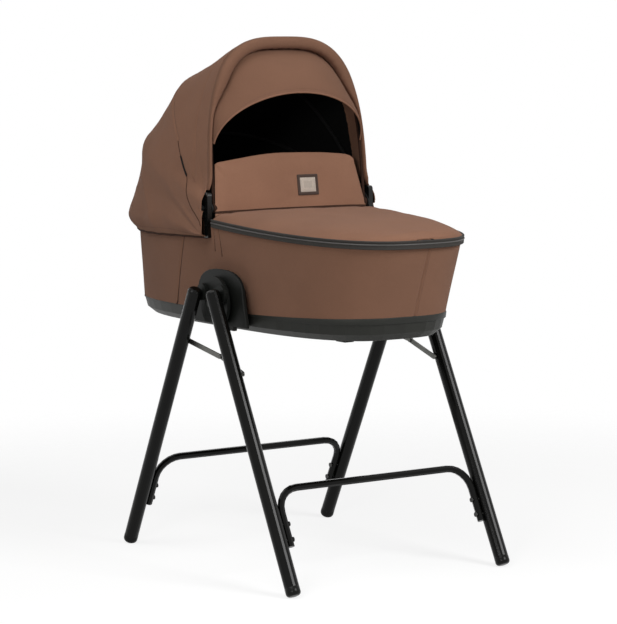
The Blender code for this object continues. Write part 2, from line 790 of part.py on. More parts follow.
def rim_band():
    """The band round the rim's outside, from one hinge strip round the foot to the other."""
    low = BAND_ABOVE_RIM - BAND_HEIGHT
    rings = [
        wall_ring(1.0, GAP, low),
        wall_ring(1.0, GAP + BAND_THICKNESS, low),
        wall_ring(1.0, GAP + BAND_THICKNESS, BAND_ABOVE_RIM),
        wall_ring(1.0, GAP, BAND_ABOVE_RIM),
    ]
    made = lofted("band", rings, looped=True)
    end_x = HOOD_X + STRIP_WIDTH / 2 + GAP
    reach = 2 * RIM_WIDTH
    return cut(made, block("band_cut", (2 * reach, 2 * reach, reach), (end_x - reach, 0.0, RIM_Z)))


def cover_crown(x):
    """The cover's rise over the rim along its middle."""
    share = (x - COVER_HEAD_X) / (RIM_X + RIM_LENGTH - COVER_HEAD_X)
    rise = min(1.0, share / 0.3)
    fall = max(0.0, (share - 0.55) / 0.45)
    head = COVER_HEAD_CROWN + (COVER_CROWN - COVER_HEAD_CROWN) * math.sin(rise * math.pi / 2)
    return head + (COVER_FOOT_CROWN - COVER_CROWN) * fall**2


def cover_stations():
    """Along the cover: (x, half width) at its head edge, at the wall's own corners and near the tip."""
    length = RIM_LENGTH - COVER_IN
    width = RIM_WIDTH - COVER_IN
    head_share = (COVER_HEAD_X - RIM_X) / length
    stations = [(COVER_HEAD_X, width * (1 - head_share**RIM_SQUARE) ** (1 / RIM_SQUARE))]
    foot_half = [(x, y) for x, y in oval(RIM_X, length, width, RIM_SQUARE)[: OVAL_STEPS // 4] if x > COVER_HEAD_X]
    stations += reversed(foot_half[1:])
    tip_x, near_x, near_half = foot_half[0][0], *foot_half[1]
    stations.append((near_x + (tip_x - near_x) * 0.9, near_half * 0.1))
    return stations


def cover():
    """The cloth cover on the foot half, crowned over the rim."""
    sections = []
    for x, half in cover_stations():
        top, bottom = [], []
        for j in range(COVER_COLUMNS + 1):
            share = math.sin(math.pi / 2 * (2 * j / COVER_COLUMNS - 1))
            z = rim_z(x) + GAP + cover_crown(x) * (1 - abs(share) ** COVER_SQUARE) * min(1.0, half / COVER_FULL)
            bottom.append((x, share * half, z))
            top.append((x, share * half, z + COVER_THICKNESS))
        sections.append(bottom + list(reversed(top)))
    return lofted("cover", sections)


def mattress():
    """The mattress: a crown on top and sides drawn in between its edges."""
    floor = TRAY_FLOOR_Z + TRAY_WALL + GAP
    lowest = (TRAY_FLOOR_IN[0] + 2 * TRAY_WALL, TRAY_FLOOR_IN[1] + 2 * TRAY_WALL)
    side = MATTRESS_THICKNESS - MATTRESS_CROWN
    edge = floor + side
    sides = ((MATTRESS_ROUND / 2, 0.18), (0.0, 0.36), (MATTRESS_DRAWN_IN, 0.55), (0.0, 0.75), (MATTRESS_ROUND / 4, 0.95))
    levels = (
        (TRAY_LENGTH - lowest[0], TRAY_WIDTH - lowest[1], floor),
        *[(MATTRESS_LENGTH - drawn, MATTRESS_WIDTH - drawn, floor + side * share) for drawn, share in sides],
        (MATTRESS_LENGTH - MATTRESS_ROUND, MATTRESS_WIDTH - MATTRESS_ROUND, edge + MATTRESS_CROWN / 3),
        (MATTRESS_LENGTH * 0.65, MATTRESS_WIDTH * 0.6, edge + MATTRESS_CROWN * 0.8),
        (MATTRESS_LENGTH * 0.25, MATTRESS_WIDTH * 0.2, edge + MATTRESS_CROWN),
    )
    rings = []
    for length, width, z in levels:
        rings.append([(x, y, z) for x, y in oval(TRAY_X, length, width, TRAY_SQUARE, 32)])
    return lofted("mattress", rings)


def bracket_outline(width, height):
    """The bell outline of a side bracket at these shares of its width and height, as (x, z) points."""
    half = [(BRACKET_WIDTH, BRACKET_LOW_Z)]
    shoulder_z = HUB_Z + BRACKET_SHOULDER_RISE
    rise = BRACKET_ABOVE_HUB - BRACKET_SHOULDER_RISE
    power = 2 / BRACKET_SQUARE
    for i in range(9):
        turn = math.pi / 2 * i / 8
        x = BRACKET_SHOULDER * max(0.0, math.cos(turn)) ** power
        half.append((x, shoulder_z + rise * math.sin(turn) ** power))
    half[-1] = (0.0, HUB_Z + BRACKET_ABOVE_HUB)
    whole = half + [(-x, z) for x, z in reversed(half[:-1])]
    return [(x * width, BRACKET_LOW_Z + (z - BRACKET_LOW_Z) * height) for x, z in whole]


def side_bracket(side):
    """The bracket on the cot's side: a bell-shaped face on a narrower root, with the slot and the button's pocket."""
    rounded_off = (1 - BRACKET_ROUND / BRACKET_SHOULDER, 1 - BRACKET_ROUND / (BRACKET_BELOW_HUB + BRACKET_ABOVE_HUB))
    sections = (
        (BRACKET_IN, *BRACKET_ROOT),
        (BRACKET_OUT - BRACKET_EDGE, 1.0, 1.0),
        (BRACKET_OUT - BRACKET_ROUND, 1.0, 1.0),
        (BRACKET_OUT, *rounded_off),
    )
    rings = []
    for y, width, height in sections:
        rings.append([(x, side * y, z) for x, z in bracket_outline(width, height)])
    made = lofted("bracket", rings)
    cot = lofted("cot_form", list(reversed(tray_rings(GAP))) + [wall_ring(i / 5, GAP) for i in range(6)])
    cut(made, cot)
    half = TONGUE_WIDTH / 2 + SLOT_SIDE_GAP
    slot_in = side * (TONGUE_IN - SLOT_SIDE_GAP)
    out = side * (BRACKET_OUT + CUT_PAST)
    low = (-half, min(slot_in, out), BRACKET_LOW_Z - CUT_PAST)
    high = (half, max(slot_in, out), TONGUE_TOP_Z + GAP)
    cut(made, span("slot", low, high))
    pocket_half = (BUTTON_WIDTH / 2 + GAP, BUTTON_DEPTH / 2 + GAP)
    top = BUTTON_LOW_Z + BUTTON_HEIGHT + BUTTON_TRAVEL + SPRING_ROOM
    low = (BUTTON_X - pocket_half[0], side * BUTTON_Y - pocket_half[1], BRACKET_LOW_Z - CUT_PAST)
    high = (BUTTON_X + pocket_half[0], side * BUTTON_Y + pocket_half[1], top)
    return cut(made, span("pocket", low, high))


def release_button(side):
    """The button under a bracket that frees the carrycot."""
    middle = (BUTTON_X, side * BUTTON_Y, BUTTON_LOW_Z + BUTTON_HEIGHT / 2)
    return rounded(block("button", (BUTTON_WIDTH, BUTTON_DEPTH, BUTTON_HEIGHT), middle), BUTTON_ROUND, 1)


# Hood

def hinge_strip(side):
    """The upright strip that the hood turns on, with its round top and its pin."""
    half = STRIP_WIDTH / 2
    top = arc((HOOD_X, HOOD_Z + STRIP_ABOVE_PIN - half), half, 0, 180, 8)
    foot_z = HOOD_Z - STRIP_BELOW_PIN
    outline = [(HOOD_X - half, foot_z), (HOOD_X + half, foot_z)] + top
    made = plate("strip", outline, side * STRIP_IN, side * STRIP_OUT)
    pin_from = side * (STRIP_IN - HOOD_PIN_REACH)
    return join(made, cross_rod("hood_pin", HOOD_PIN_RADIUS, HOOD_X, HOOD_Z, pin_from, side * (STRIP_IN + GAP * 5), 16))


def arch_point(angle, reach, width, a):
    """A point at parameter a (-pi/2 to pi/2, right to left) on an arch at this angle round the hinge."""
    turn = math.radians(angle)
    power = 2 / HOOD_SQUARE
    r = reach * math.cos(a) ** power
    y = width * math.copysign(abs(math.sin(a)) ** power, a)
    return Vector((HOOD_X + r * math.cos(turn), y, HOOD_Z + r * math.sin(turn)))


def arch_limit(reach, start):
    """The parameter at which an arch is this far from the hinge."""
    return math.acos((start / reach) ** (HOOD_SQUARE / 2))


def arch(angle, reach, width, start, steps=ARCH_STEPS):
    """An arch round the hood at this angle about its hinge, beginning this far from the hinge."""
    limit = arch_limit(reach, start)
    points = [arch_point(angle, reach, width, limit * (2 * i / steps - 1)) for i in range(steps + 1)]
    points[steps // 2].y = 0.0
    return points


def bow_arch(angle, reach, width, radius, start, ends=()):
    """The middle line of a bow under a panel's inner face, with ends nearer the hinge if given."""
    under = CLOTH + GAP + radius
    points = arch(angle, reach - under, width - under, start)
    for distance in ends:
        limit = arch_limit(reach - under, distance)
        points.insert(0, arch_point(angle, reach - under, width - under, -limit))
        points.append(arch_point(angle, reach - under, width - under, limit))
    return points


def panel_rows(edge, bow, last, reaches, width, sag, start, steps=4):
    """The arches of a cloth panel: level from its edge to past its bow, then drawn in towards the next."""
    seat = bow + BOW_SEAT
    rows = [arch(angle, reaches[0], width, start) for angle in (edge, bow)]
    for i in range(steps + 1):
        t = i / steps
        reach = reaches[0] + (reaches[1] - reaches[0]) * t - sag * 4 * t * (1 - t)
        rows.append(arch(seat + (last - seat) * t, reach, width, start))
    return rows


def moving_panel(edge, bow, last, reaches, width):
    """A panel that turns with its bow, with its inner wall."""
    rows = panel_rows(edge, bow, last, reaches, width, PANEL_SAG, PANEL_START)
    return shell(outward(lofted("panel", rows, closed_ring=False, capped=False)), CLOTH)


def outward(piece):
    """Turns an open panel's faces so that they look away from the hood's hinge line."""
    shape = bmesh.new()
    shape.from_mesh(piece.data)
    middle = Vector((HOOD_X, 0.0, HOOD_Z))
    facing = sum((face.calc_center_median() - middle).dot(face.normal) * face.calc_area() for face in shape.faces)
    if facing < 0:
        bmesh.ops.reverse_faces(shape, faces=shape.faces)
    shape.to_mesh(piece.data)
    shape.free()
    return piece


def front_bow():
    """The front bow, with an eye on each hinge pin."""
    ends = (PANEL_START / 2, HOOD_PIN_RADIUS)
    line = bow_arch(FRONT_ANGLE, FRONT_REACH, FRONT_WIDTH, FRONT_BOW_RADIUS, PANEL_START, ends)
    made = tube("front_bow", line, FRONT_BOW_RADIUS)
    eye_out = FRONT_WIDTH - CLOTH - GAP
    eye_in = eye_out - 2 * FRONT_BOW_RADIUS
    for _, side in SIDES:
        join(made, cross_rod("front_eye", EYE_RADIUS, HOOD_X, HOOD_Z, side * eye_in, side * eye_out, 16))
    for _, side in SIDES:
        bore = (side * (eye_in - CUT_PAST), side * (eye_out + CUT_PAST))
        cut(made, cross_rod("front_bore", HOOD_PIN_RADIUS + BORE_GAP, HOOD_X, HOOD_Z, *bore, 16))
    return made


def mid_bow():
    """The middle bow, whose flat ends pass between the hinge strips and the front panel."""
    ends_out = STRIP_IN - GAP
    ends_in = FRONT_WIDTH + 2 * GAP
    arm_reach = PANEL_START + MID_ARM_LAP
    line = bow_arch(MID_ANGLE, MID_REACH, MID_WIDTH, BOW_RADIUS, PANEL_START)
    made = tube("mid_bow", line, BOW_RADIUS)
    turn = math.radians(MID_ANGLE)
    end = (HOOD_X + arm_reach * math.cos(turn), HOOD_Z + arm_reach * math.sin(turn))
    for _, side in SIDES:
        outline = capsule((HOOD_X, HOOD_Z), EYE_RADIUS, end, MID_ARM_RADIUS)
        join(made, plate("mid_arm", outline, side * ends_in, side * ends_out))
    for _, side in SIDES:
        bore = (side * (ends_in - CUT_PAST), side * (ends_out + CUT_PAST))
        cut(made, cross_rod("mid_bore", HOOD_PIN_RADIUS + BORE_GAP, HOOD_X, HOOD_Z, *bore, 16))
    return made


def rear_bow():
    """The rear bow, fixed to the outer faces of the hinge strips."""
    line = bow_arch(REAR_ANGLE, REAR_REACH, REAR_WIDTH, BOW_RADIUS, REAR_START, (HOOD_PIN_RADIUS,))
    return tube("rear_bow", line, BOW_RADIUS)


def rear_panel():
    """The fixed rear panel, with the skirt that hangs outside the rim."""
    edge = REAR_ANGLE - LAP
    rows = panel_rows(edge, REAR_ANGLE, HEM_ANGLE, (REAR_REACH, HEM_REACH), REAR_WIDTH, REAR_SAG, REAR_START)
    hem = rows[-1]
    for share in (0.5, 1.0):
        rows.append([Vector((p.x, p.y, HOOD_Z - SKIRT_DROP * share)) for p in hem])
    return shell(outward(lofted("rear_panel", rows, closed_ring=False, capped=False)), CLOTH)


def visor():
    """The visor that reaches forward from the front bow, as a crescent."""
    turn = math.radians(FRONT_ANGLE)
    ahead = Vector((math.sin(turn), 0.0, -math.cos(turn)))
    start = (VISOR_LOW + VISOR_END_DEPTH) / math.sin(turn)
    upper = bow_arch(FRONT_ANGLE, FRONT_REACH, FRONT_WIDTH, FRONT_BOW_RADIUS, start)
    sections = []
    for i, top in enumerate(upper):
        a = math.pi / 2 * (2 * i / ARCH_STEPS - 1)
        lean = math.cos(a)
        y = (FRONT_WIDTH - VISOR_INSIDE_PANEL) * math.sin(a)
        low_x = HOOD_X - VISOR_BACK + VISOR_FORWARD * lean
        low = Vector((low_x, y, HOOD_Z + VISOR_LOW + VISOR_RISE * lean))
        back = top + ahead * (FRONT_BOW_RADIUS + GAP)
        sections.append((back, low, low + ahead * VISOR_THICKNESS, back + ahead * VISOR_THICKNESS))
    return lofted("visor", sections)


# Windscreen flap

FLAP_LEAN = math.tan(math.radians(FLAP_ANGLE))  # back per rise
FLAP_HINGE_X = COVER_HEAD_X - FLAP_BEHIND_COVER
FLAP_HINGE_Z = rim_z(COVER_HEAD_X) + COVER_HEAD_CROWN + COVER_THICKNESS + 2 * GAP


def flap_face_x(z):
    """The flap's front face at this height."""
    return FLAP_HINGE_X - GAP - (z - FLAP_HINGE_Z) * FLAP_LEAN


def flap():
    """The upright end of the cover, thicker in the middle than at its edges."""
    rows = 6
    columns = 14
    low_z = FLAP_HINGE_Z - FLAP_BELOW_HINGE
    sections = []
    for i in range(rows + 1):
        t = i / rows
        half = FRONT_WIDTH - FLAP_INSIDE_FRONT - FLAP_TAPER * t
        front, back = [], []
        for j in range(columns + 1):
            share = math.sin(math.pi / 2 * (2 * j / columns - 1))
            rise = FLAP_CORNER_RISE + (FLAP_TOP_RISE - FLAP_CORNER_RISE) * (1 - share**4)
            z = low_z + (FLAP_HINGE_Z + rise - low_z) * t
            swell = (1 - abs(share) ** 3) * (1 - abs(2 * t - 1) ** 3)
            thick = FLAP_EDGE + (FLAP_THICKNESS - FLAP_EDGE) * swell
            front.append((flap_face_x(z), share * half, z))
            back.append((flap_face_x(z) - thick, share * half, z))
        sections.append(front + list(reversed(back)))
    return lofted("flap", sections)


def flap_patch():
    """The bare label patch on the flap's front."""
    z = FLAP_HINGE_Z + PATCH_RISE
    middle = (flap_face_x(z) + GAP + PATCH_THICKNESS / 2, PATCH_Y, z)
    made = block("patch", (PATCH_THICKNESS, PATCH_SIZE, PATCH_SIZE), middle)
    made.rotation_euler = (0.0, -math.atan(FLAP_LEAN), 0.0)
    return made


# Putting it together

def build_stand(head_frame, foot_frame, head_links, foot_links):
    """Both leg frames with their crossbars, hubs, connectors and stays."""
    for end, frame, label in ((-1, head_frame, "head"), (1, foot_frame, "foot")):
        bar = crossbar(end)
        for side_name, side in SIDES:
            tube_piece = leg_tube(end, side)
            for i, z in enumerate(bolt_places()):
                bore = bolt_bore(end, side, z)
                cut(tube_piece, bore)
                cut(bar, bore)
                put(bolt(end, side, z), f"bolt_{label}_{side_name}_{i + 1}", frame, STEEL)
            cut(tube_piece, leg_rivet_bore(side, STAY_HEAD if end < 0 else STAY_FOOT))
            put(tube_piece, f"leg_{label}_{side_name}", frame, SATIN_BLACK)
            put(foot_cap(end, side), f"foot_cap_{label}_{side_name}", frame, RUBBER_BLACK)
        put(bar, f"crossbar_{label}", frame, SATIN_BLACK)
    for side_name, side in SIDES:
        put(hub_disc(side), f"hub_disc_{side_name}", head_frame, MATT_BLACK)
        put(hub_arm(side), f"hub_arm_{side_name}", foot_frame, MATT_BLACK)
        put(hub_pin(side), f"hub_pin_{side_name}", head_frame, STEEL)
        put(connector(side), f"connector_{side_name}", head_frame, MATT_BLACK)
        link = stay(side, STAY_HEAD, STAY_KNEE, STAY_MIDDLE, STAY_OUT, (STAY_HEAD, STAY_KNEE))
        put(link, f"stay_head_link_{side_name}", head_links, STEEL)
        link = stay(side, STAY_KNEE, STAY_FOOT, STAY_IN, STAY_IN + STAY_THICKNESS, (STAY_KNEE,))
        put(link, f"stay_foot_link_{side_name}", foot_links, STEEL)
        tip = LEG_INSIDE + LEG_WALL + RIVET_PAST_WALL
        put(rivet(side, STAY_HEAD, STAY_MIDDLE - GAP, tip), f"stay_rivet_{side_name}", head_frame, STEEL)
        put(rivet(side, STAY_KNEE, STAY_IN - GAP, STAY_OUT), f"stay_knee_rivet_{side_name}", head_links, STEEL)
        stud = cross_rod("stud", RIVET_RADIUS, *STAY_FOOT, side * STAY_MIDDLE, side * tip, 12)
        put(stud, f"stay_stud_{side_name}", foot_frame, STEEL)


def build_cot(cot, buttons):
    """The carrycot's tray, wall, rim, cover, mattress, brackets and buttons."""
    put(tray(), "cot_tray", cot, MATT_BLACK)
    put(cot_wall(), "cot_wall", cot, BROWN_CLOTH)
    put(rim_band(), "rim_band", cot, DARK_TAPE)
    put(cover(), "foot_cover", cot, BROWN_CLOTH)
    put(mattress(), "mattress", cot, PALE_QUILT)
    for (side_name, side), button in zip(SIDES, buttons):
        put(side_bracket(side), f"side_bracket_{side_name}", cot, MATT_BLACK)
        put(release_button(side), f"release_button_{side_name}", button, MATT_BLACK)
        put(hinge_strip(side), f"hood_hinge_strip_{side_name}", cot, GLOSS_BLACK)
    put(rear_bow(), "hood_rear_bow", cot, GLOSS_BLACK)
    put(rear_panel(), "hood_rear_panel", cot, BROWN_CLOTH)


def build_hood(mid, front):
    """The moving middle and front of the hood, each panel's rear end under the next bow."""
    under_bow = 2 * CLOTH + 2 * BOW_RADIUS + 4 * GAP
    put(mid_bow(), "hood_mid_bow", mid, GLOSS_BLACK)
    reaches = (MID_REACH, REAR_REACH - under_bow)
    cloth = moving_panel(MID_ANGLE - LAP, MID_ANGLE, REAR_ANGLE - LAP / 2, reaches, MID_WIDTH)
    put(cloth, "hood_mid_panel", mid, BROWN_CLOTH)
    put(front_bow(), "hood_front_bow", front, GLOSS_BLACK)
    reaches = (FRONT_REACH, MID_REACH - under_bow)
    cloth = moving_panel(FRONT_ANGLE - BOW_SEAT / 2, FRONT_ANGLE, MID_ANGLE - LAP / 2, reaches, FRONT_WIDTH)
    put(cloth, "hood_front_panel", front, BROWN_CLOTH)
    put(visor(), "hood_visor", front, BROWN_CLOTH)


HINGE = (0.0, 0.0, HUB_Z)
HOOD_HINGE = (HOOD_X, 0.0, HOOD_Z)
HEAD_FRAME = body("head_frame", "hub_line", (0.0, 0.0, 0.0))
FOOT_FRAME = body("foot_frame", HEAD_FRAME, HINGE)
HEAD_LINKS = body("stay_head_links", HEAD_FRAME, (STAY_HEAD[0], 0.0, STAY_HEAD[1]))
FOOT_LINKS = body("stay_foot_links", HEAD_LINKS, (STAY_KNEE[0], 0.0, STAY_KNEE[1]))
COT = body("carrycot", HEAD_FRAME, (0.0, 0.0, TRAY_TOP_Z))
BUTTONS = [body(f"button_{name}", COT, (BUTTON_X, side * BUTTON_Y, BUTTON_LOW_Z)) for name, side in SIDES]
FLAP = body("windscreen", COT, (FLAP_HINGE_X, 0.0, FLAP_HINGE_Z))
HOOD_MID = body("hood_mid", COT, HOOD_HINGE)
HOOD_FRONT = body("hood_front", HOOD_MID, HOOD_HINGE)

build_stand(HEAD_FRAME, FOOT_FRAME, HEAD_LINKS, FOOT_LINKS)
build_cot(COT, BUTTONS)
build_hood(HOOD_MID, HOOD_FRONT)
put(flap(), "windscreen_flap", FLAP, BROWN_CLOTH)
put(flap_patch(), "flap_patch", FLAP, DARK_TAPE)
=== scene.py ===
"""The looks of the carrycot stand: materials, cloth pieces, floor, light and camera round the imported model."""
import math

import bmesh
import bpy
from mathutils import Matrix, Vector, noise


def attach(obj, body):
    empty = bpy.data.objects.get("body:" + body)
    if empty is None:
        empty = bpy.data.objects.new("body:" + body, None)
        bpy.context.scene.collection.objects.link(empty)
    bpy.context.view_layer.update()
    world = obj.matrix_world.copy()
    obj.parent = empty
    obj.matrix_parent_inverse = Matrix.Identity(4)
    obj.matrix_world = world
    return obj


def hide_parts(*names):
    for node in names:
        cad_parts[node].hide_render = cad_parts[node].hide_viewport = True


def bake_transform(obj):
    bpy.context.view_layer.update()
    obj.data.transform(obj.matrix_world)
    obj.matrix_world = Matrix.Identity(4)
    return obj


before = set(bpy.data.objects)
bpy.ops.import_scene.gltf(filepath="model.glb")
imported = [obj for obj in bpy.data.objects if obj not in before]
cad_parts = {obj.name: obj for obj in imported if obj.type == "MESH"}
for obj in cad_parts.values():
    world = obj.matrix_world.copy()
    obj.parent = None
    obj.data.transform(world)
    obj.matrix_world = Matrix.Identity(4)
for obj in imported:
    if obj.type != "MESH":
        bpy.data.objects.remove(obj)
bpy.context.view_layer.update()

UP, ACROSS, AHEAD = Vector((0.0, 0.0, 1.0)), Vector((0.0, 1.0, 0.0)), Vector((1.0, 0.0, 0.0))
SIDES = (("left", 1), ("right", -1))
SHIFT = 0.0696  # the hubs' line stands this far ahead of the frame's origin; the shapes below count from it

# The tub, as in the CAD source
TRAY_X, TRAY_LENGTH, TRAY_WIDTH, TRAY_SQUARE, TRAY_TOP_Z = -0.080, 0.412, 0.176, 3.1, 0.4915
RIM_X, RIM_LENGTH, RIM_WIDTH, RIM_SQUARE, RIM_Z = -0.062, 0.452, 0.186, 2.9, 0.667
RIM_DROP, RIM_ENDS_RISE, WALL_FLARE = 0.0316, 0.008, 1.15
WALL_LOW_Z = TRAY_TOP_Z + 0.0003

# The hood: hinge, and its bows as (angle, reach, half width) of the cloth's outside
HOOD_X, HOOD_Z, HOOD_SQUARE = -0.067, 0.690, 3.15
FRONT = (94.66, 0.3326, 0.1840)
MIDDLE = (131.45, 0.3508, 0.1922)
REAR = (160.15, 0.4046, 0.2042)
HEM = (183.95, 0.4659, 0.2010)
BOWS = (FRONT, MIDDLE, REAR, HEM)
SAGS, SIDE_SAG = (0.0225, 0.0205, 0.0296), 0.0022
STRIP_HALF, STRIP_TOP = 0.0075, 0.0335
BESIDE_STRIP, REAR_BESIDE = 0.1962, 0.0065  # half width beside the strip, and what the rear cloth adds
REAR_DROP = 0.047
HINGE_START = 0.002
CLOTH = 0.0016

# The windscreen flap and the cover's head edge
FLAP_X, FLAP_Z, FLAP_LEAN = -0.0556, 0.6825, 0.141
CREASE_TOP, CREASE_ACROSS = (-0.335, 0.740), (0.793, 0.609)  # a point on the side crease and its square direction
CREASE_RIDGE, BOW_DIP, BOW_DIP_DEGREES = 0.0052, 0.0017, 0.55
DRAGS = ((113.0, 4.0, 0.0011, 0.08, 0.26), (172.0, 5.0, 0.0018, 0.10, 0.30))  # angle, spread, depth, start and end
COVER_HEAD_X = -0.054
COVER_FOLD_SHADE = 0.006  # the share of the cover's length that the painted shade at its fold by the flap takes

BROWN = (0.266, 0.136, 0.0865)
BLACK_CLOTH = (0.0060, 0.0057, 0.0055)


# Materials

class Nodes:
    """A node tree that is built node by node."""

    def __init__(self, tree):
        self.tree = tree

    def add(self, kind, inputs=(), **settings):
        """A new node; an input takes a value or another node's output."""
        made = self.tree.nodes.new(kind)
        for key, value in settings.items():
            setattr(made, key, value)
        for key, value in dict(inputs).items():
            if isinstance(value, bpy.types.NodeSocket):
                self.tree.links.new(value, made.inputs[key])
            else:
                made.inputs[key].default_value = value
        return made


class Surface(Nodes):
    """A Principled material."""

    def __init__(self, name, rough, metal=0.0, specular=0.5, sheen=0.0):
        self.made = bpy.data.materials.new(name)
        self.made.use_nodes = True
        super().__init__(self.made.node_tree)
        self.shader = self.tree.nodes["Principled BSDF"].inputs
        self.shader["Roughness"].default_value = rough
        self.shader["Metallic"].default_value = metal
        self.shader["Specular IOR Level"].default_value = specular
        self.shader["Sheen Weight"].default_value = sheen
        self.shader["Sheen Roughness"].default_value = 0.5
        self.place = self.add("ShaderNodeTexCoord").outputs

    def noise(self, scale, detail=3.0, rough=0.5):
        inputs = {"Scale": scale, "Detail": detail, "Roughness": rough, "Vector": self.place["Object"]}
        return self.add("ShaderNodeTexNoise", inputs).outputs["Fac"]

    def wave(self, pitch, direction):
        """Even ridges this far apart."""
        inputs = {"Scale": math.pi / 10 / pitch, "Distortion": 0.6, "Detail": 1.0, "Detail Scale": 2.0,
                  "Vector": self.place["UV"]}
        return self.add("ShaderNodeTexWave", inputs, wave_type="BANDS", bands_direction=direction).outputs["Fac"]

    def mixed(self, factor, low, high, stops=(0.3, 0.7)):
        """A colour from one to the other as the factor goes between the two stops."""
        made = self.add("ShaderNodeValToRGB", {"Fac": factor})
        for element, stop, colour in zip(made.color_ramp.elements, stops, (low, high)):
            element.position = stop
            element.color = (*colour, 1.0)
        return made.outputs["Color"]

    def times(self, first, second):
        """Two colours multiplied."""
        inputs = {"Factor": 1.0, "A": first, "B": second}
        return self.add("ShaderNodeMix", inputs, data_type="RGBA", blend_type="MULTIPLY").outputs["Result"]

    def colour(self, output):
        self.tree.links.new(output, self.shader["Base Color"])

    def roughness(self, factor, low, high):
        made = self.add("ShaderNodeMapRange", {"To Min": low, "To Max": high, "Value": factor})
        self.tree.links.new(made.outputs["Result"], self.shader["Roughness"])

    def bump(self, height, depth, strength, **under):
        """Relief this deep, over the bump given as Normal if there is one."""
        inputs = {"Distance": depth, "Strength": strength, "Height": height, **under}
        made = self.add("ShaderNodeBump", inputs).outputs["Normal"]
        self.tree.links.new(made, self.shader["Normal"])
        return made


def shade(colour, amount):
    return tuple(channel * amount for channel in colour)


def cloth(name, colour, pitch=0.0009, sheen=0.04, depth=0.00022, contrast=0.10):
    """Plain-woven cloth: crossed yarns with painted shade in the gaps between them, flecked yarn colour and broad faint
    patches.
    """
    made = Surface(name, 0.88, specular=0.12, sheen=sheen)
    threads = {0: made.wave(pitch, "X"), 1: made.wave(pitch, "Y")}
    yarn = made.add("ShaderNodeMath", threads, operation="MAXIMUM").outputs[0]
    fleck = made.noise(950.0, 2.0)
    base = made.mixed(fleck, shade(colour, 1 - contrast), shade(colour, 1 + contrast))
    broad = made.mixed(made.noise(9.0), (0.93,) * 3, (1.05,) * 3, (0.25, 0.75))
    # The gaps between the yarns are painted darker, as painted shade.
    yarn_gap_shade = made.mixed(yarn, (0.80,) * 3, (1.04,) * 3, (0.15, 0.75))
    made.colour(made.times(made.times(base, broad), yarn_gap_shade))
    soft = made.bump(made.noise(60.0), 0.0012, 0.25)
    made.bump(yarn, depth, 0.7, Normal=soft)
    made.roughness(fleck, 0.80, 0.96)
    return made.made


def moulded(name, colour, rough, grain, depth, specular):
    """Moulded plastic or rubber with a fine grain and slight wear in its gloss."""
    made = Surface(name, rough, specular=specular)
    patch = made.noise(14.0, 4.0)
    made.colour(made.mixed(patch, shade(colour, 0.85), shade(colour, 1.2)))
    made.roughness(patch, rough - 0.06, rough + 0.08)
    made.bump(made.noise(grain, 2.0), depth, 0.6)
    return made.made


def coated_tube(name, colour):
    """Satin powder coat on steel tube: orange-peel skin and faint rubbing."""
    made = Surface(name, 0.16, specular=0.13)
    rub = made.noise(22.0, 5.0, 0.6)
    made.colour(made.mixed(rub, shade(colour, 0.85), shade(colour, 1.25)))
    made.roughness(rub, 0.11, 0.20)
    made.bump(made.noise(420.0, 2.0), 0.00006, 0.5)
    return made.made


def brushed(name, colour, rough):
    """Dark steel with fine lines along it."""
    made = Surface(name, rough, metal=0.85)
    lines = made.noise(700.0)
    made.colour(made.mixed(made.noise(30.0, 4.0), shade(colour, 0.8), shade(colour, 1.15)))
    made.roughness(lines, rough - 0.08, rough + 0.12)
    made.bump(lines, 0.00003, 0.5)
    return made.made


TUBE = coated_tube("satin_black_coat", (0.0030, 0.0030, 0.0026))
CAP = moulded("black_rubber", (0.008, 0.008, 0.008), 0.72, 900.0, 0.00015, 0.2)
FOOT_RUBBER = moulded("foot_rubber", (0.0034, 0.0034, 0.0032), 0.26, 1200.0, 0.00005, 0.13)
STEEL = brushed("dark_steel", (0.13, 0.13, 0.12), 0.38)
BOLT_STEEL = brushed("bolt_steel", (0.055, 0.055, 0.053), 0.42)
PLASTIC = moulded("matt_black_plastic", (0.010, 0.010, 0.009), 0.52, 1800.0, 0.00010, 0.2)
HUB_PLASTIC = moulded("hub_plastic", (0.0050, 0.0056, 0.0048), 0.50, 1500.0, 0.00010, 0.15)
TRAY_PLASTIC = moulded("tray_plastic", (0.020, 0.0205, 0.0175), 0.50, 1300.0, 0.00018, 0.2)
GLOSS = moulded("gloss_black_plastic", (0.005, 0.005, 0.0048), 0.20, 900.0, 0.00002, 0.3)
BROWN_CLOTH = cloth("brown_cloth", BROWN)
# a copy of the brown cloth painted lighter: painted light on the flap
BROWN_PAINTED_LIGHT = cloth("brown_cloth_painted_light", shade(BROWN, 1.10))
# a copy of the brown cloth painted darker: painted shade on the visor and the front roll
BROWN_PAINTED_SHADE = cloth("brown_cloth_painted_shade", shade(BROWN, 0.77))
# a copy of the brown cloth painted darker: painted shade on the tub's wall
BROWN_TUB_PAINTED_SHADE = cloth("brown_cloth_tub_painted_shade", shade(BROWN, 0.89))
LINING = cloth("black_lining", BLACK_CLOTH, 0.0012, 0.0, 0.00018, 0.15)
TAPE = cloth("rim_tape_cloth", (0.050, 0.046, 0.042), 0.0013, 0.05, 0.00030, 0.16)
BEAD = moulded("rim_bead", (0.065, 0.060, 0.056), 0.5, 700.0, 0.00006, 0.5)
THREAD = cloth("brown_thread", (0.165, 0.080, 0.050), 0.0005, 0.1, 0.00010, 0.1)
